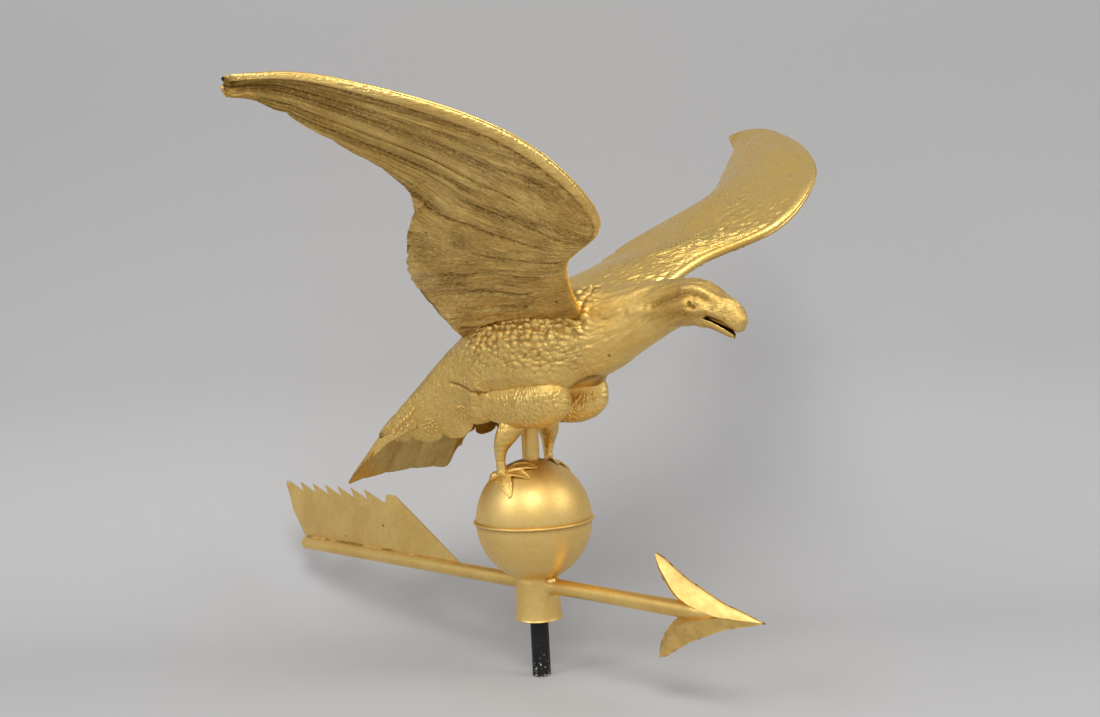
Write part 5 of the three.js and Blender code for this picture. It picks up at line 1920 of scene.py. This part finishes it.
# %% Inner pieces
inner_metals = {"pivot_ball": steel}
for node in ("hub_bushing", "pivot_cap", "spar_hub", "spar_nut", "left_wing_spar", "right_wing_spar"):
    inner_metals[node] = brass
for node, metal in inner_metals.items():
    frame["nodes"][node].data.materials.clear()
    frame["nodes"][node].data.materials.append(metal)
    print(node, "stays, in", metal.name)

# %% [markdown]
# ## Backdrop and light
# A pale floor sweeps up into a wall behind the vane, as in the photograph. It is a grid that
# is laid on a profile of floor, bend and wall, square to the camera. Its sizes are in metres.

# %% Backdrop
def build_backdrop():
    view = Vector((-camera_back[0], -camera_back[1], 0)).normalized()
    side = Vector((view.y, -view.x, 0))
    bend, wall, reach_out = 0.3, 0.45, 3.0
    profile = [(-reach_out, 0.0), (-1.2, 0.0), (0.0, 0.0), (wall - bend, 0.0)]
    profile += [(wall - bend + bend * math.sin(a), bend - bend * math.cos(a))
                for a in np.linspace(0.1, math.pi / 2, 12)]
    profile += [(wall, 0.8), (wall, 1.6), (wall, reach_out)]
    deselect()
    bpy.ops.mesh.primitive_grid_add(x_subdivisions=8, y_subdivisions=len(profile) - 1, size=2)
    sweep = bpy.context.object
    sweep.name = "backdrop"
    flat = read_points(sweep) * MM
    row = np.rint((flat[:, 1] + 1) / 2 * (len(profile) - 1)).astype(int)
    reach = np.array(profile)[row]
    points = reach[:, :1] * np.array(view) + flat[:, :1] * reach_out * np.array(side)
    points[:, 2] = reach[:, 1]
    sweep.data.vertices.foreach_set("co", points.ravel())
    sweep.data.update()
    bpy.ops.object.shade_smooth()
    return sweep


backdrop = build_backdrop()

# %% [markdown]
# The paper is a little darker up the wall, as in the photograph: painted shade, where less light
# reaches the wall. Its back is clear, so that a view from behind looks through the wall at the vane.

# %% Paper of the backdrop
def build_paper():
    material, tree, shader = new_material("pale_paper")
    where = tree.nodes.new("ShaderNodeTexCoord").outputs["Object"]
    height = tree.nodes.new("ShaderNodeSeparateXYZ")
    tree.links.new(where, height.inputs[0])
    # Painted shade: the paper's colour gets darker up the wall.
    painted_shade_up_the_wall = range_node(tree, height.outputs["Z"], 0.12, 0.8)
    tone = colour_mix(tree, painted_shade_up_the_wall, (0.505, 0.505, 0.51, 1), (0.385, 0.385, 0.39, 1))
    tree.links.new(tone, shader.inputs["Base Color"])
    shader.inputs["Roughness"].default_value = 0.9
    shader.inputs["Specular IOR Level"].default_value = 0.1
    clear = tree.nodes.new("ShaderNodeBsdfTransparent")
    either = tree.nodes.new("ShaderNodeMixShader")
    output = next(n for n in tree.nodes if n.type == "OUTPUT_MATERIAL")
    facing = tree.nodes.new("ShaderNodeNewGeometry").outputs["Backfacing"]
    tree.links.new(facing, either.inputs["Fac"])
    tree.links.new(shader.outputs["BSDF"], either.inputs[1])
    tree.links.new(clear.outputs["BSDF"], either.inputs[2])
    tree.links.new(either.outputs["Shader"], output.inputs["Surface"])
    return material


backdrop.data.materials.append(build_paper())

# %% [markdown]
# The lamps are large and soft: a key lamp high over the camera, and a weaker one on each side.
# The world is an even grey room, which fills the shadows and gives the gold its reflections.

# %% Lights
def soft_lamp(name, azimuth, elevation, distance, size, power, colour=(1, 1, 1)):
    """An area lamp that looks at the bird, placed by its angle round the vane."""
    a, e = math.radians(azimuth), math.radians(elevation)
    place = Vector((math.sin(a) * math.cos(e), -math.cos(a) * math.cos(e), math.sin(e))) * distance
    aim = Vector((0, 0, 0.3))
    bpy.ops.object.light_add(type="AREA", location=aim + place)
    lamp = bpy.context.object
    lamp.name = name
    lamp.data.shape = "DISK"
    lamp.data.size = size
    lamp.data.energy = power
    lamp.data.color = colour
    lamp.rotation_euler = (-place).to_track_quat("-Z", "Y").to_euler()
    print("lamp:", name, power, "W")


soft_lamp("key", 46, 47, 1.9, 0.85, 17.5, (1, 0.985, 0.96))
soft_lamp("left", -12, 32, 1.9, 0.7, 6)
soft_lamp("right", 113, 30, 1.7, 0.7, 4.5)

# %% Room light
world = bpy.data.worlds.new("room")
scene.world = world
world.use_nodes = True
room = world.node_tree.nodes["Background"]
room.inputs["Color"].default_value = (1.0, 1.0, 1.01, 1)
room.inputs["Strength"].default_value = 0.66

# %% [markdown]
# ## Finish
# The view transform is Standard, so a colour renders about as it is written.

# %% Finish
scene.view_settings.view_transform = "Standard"
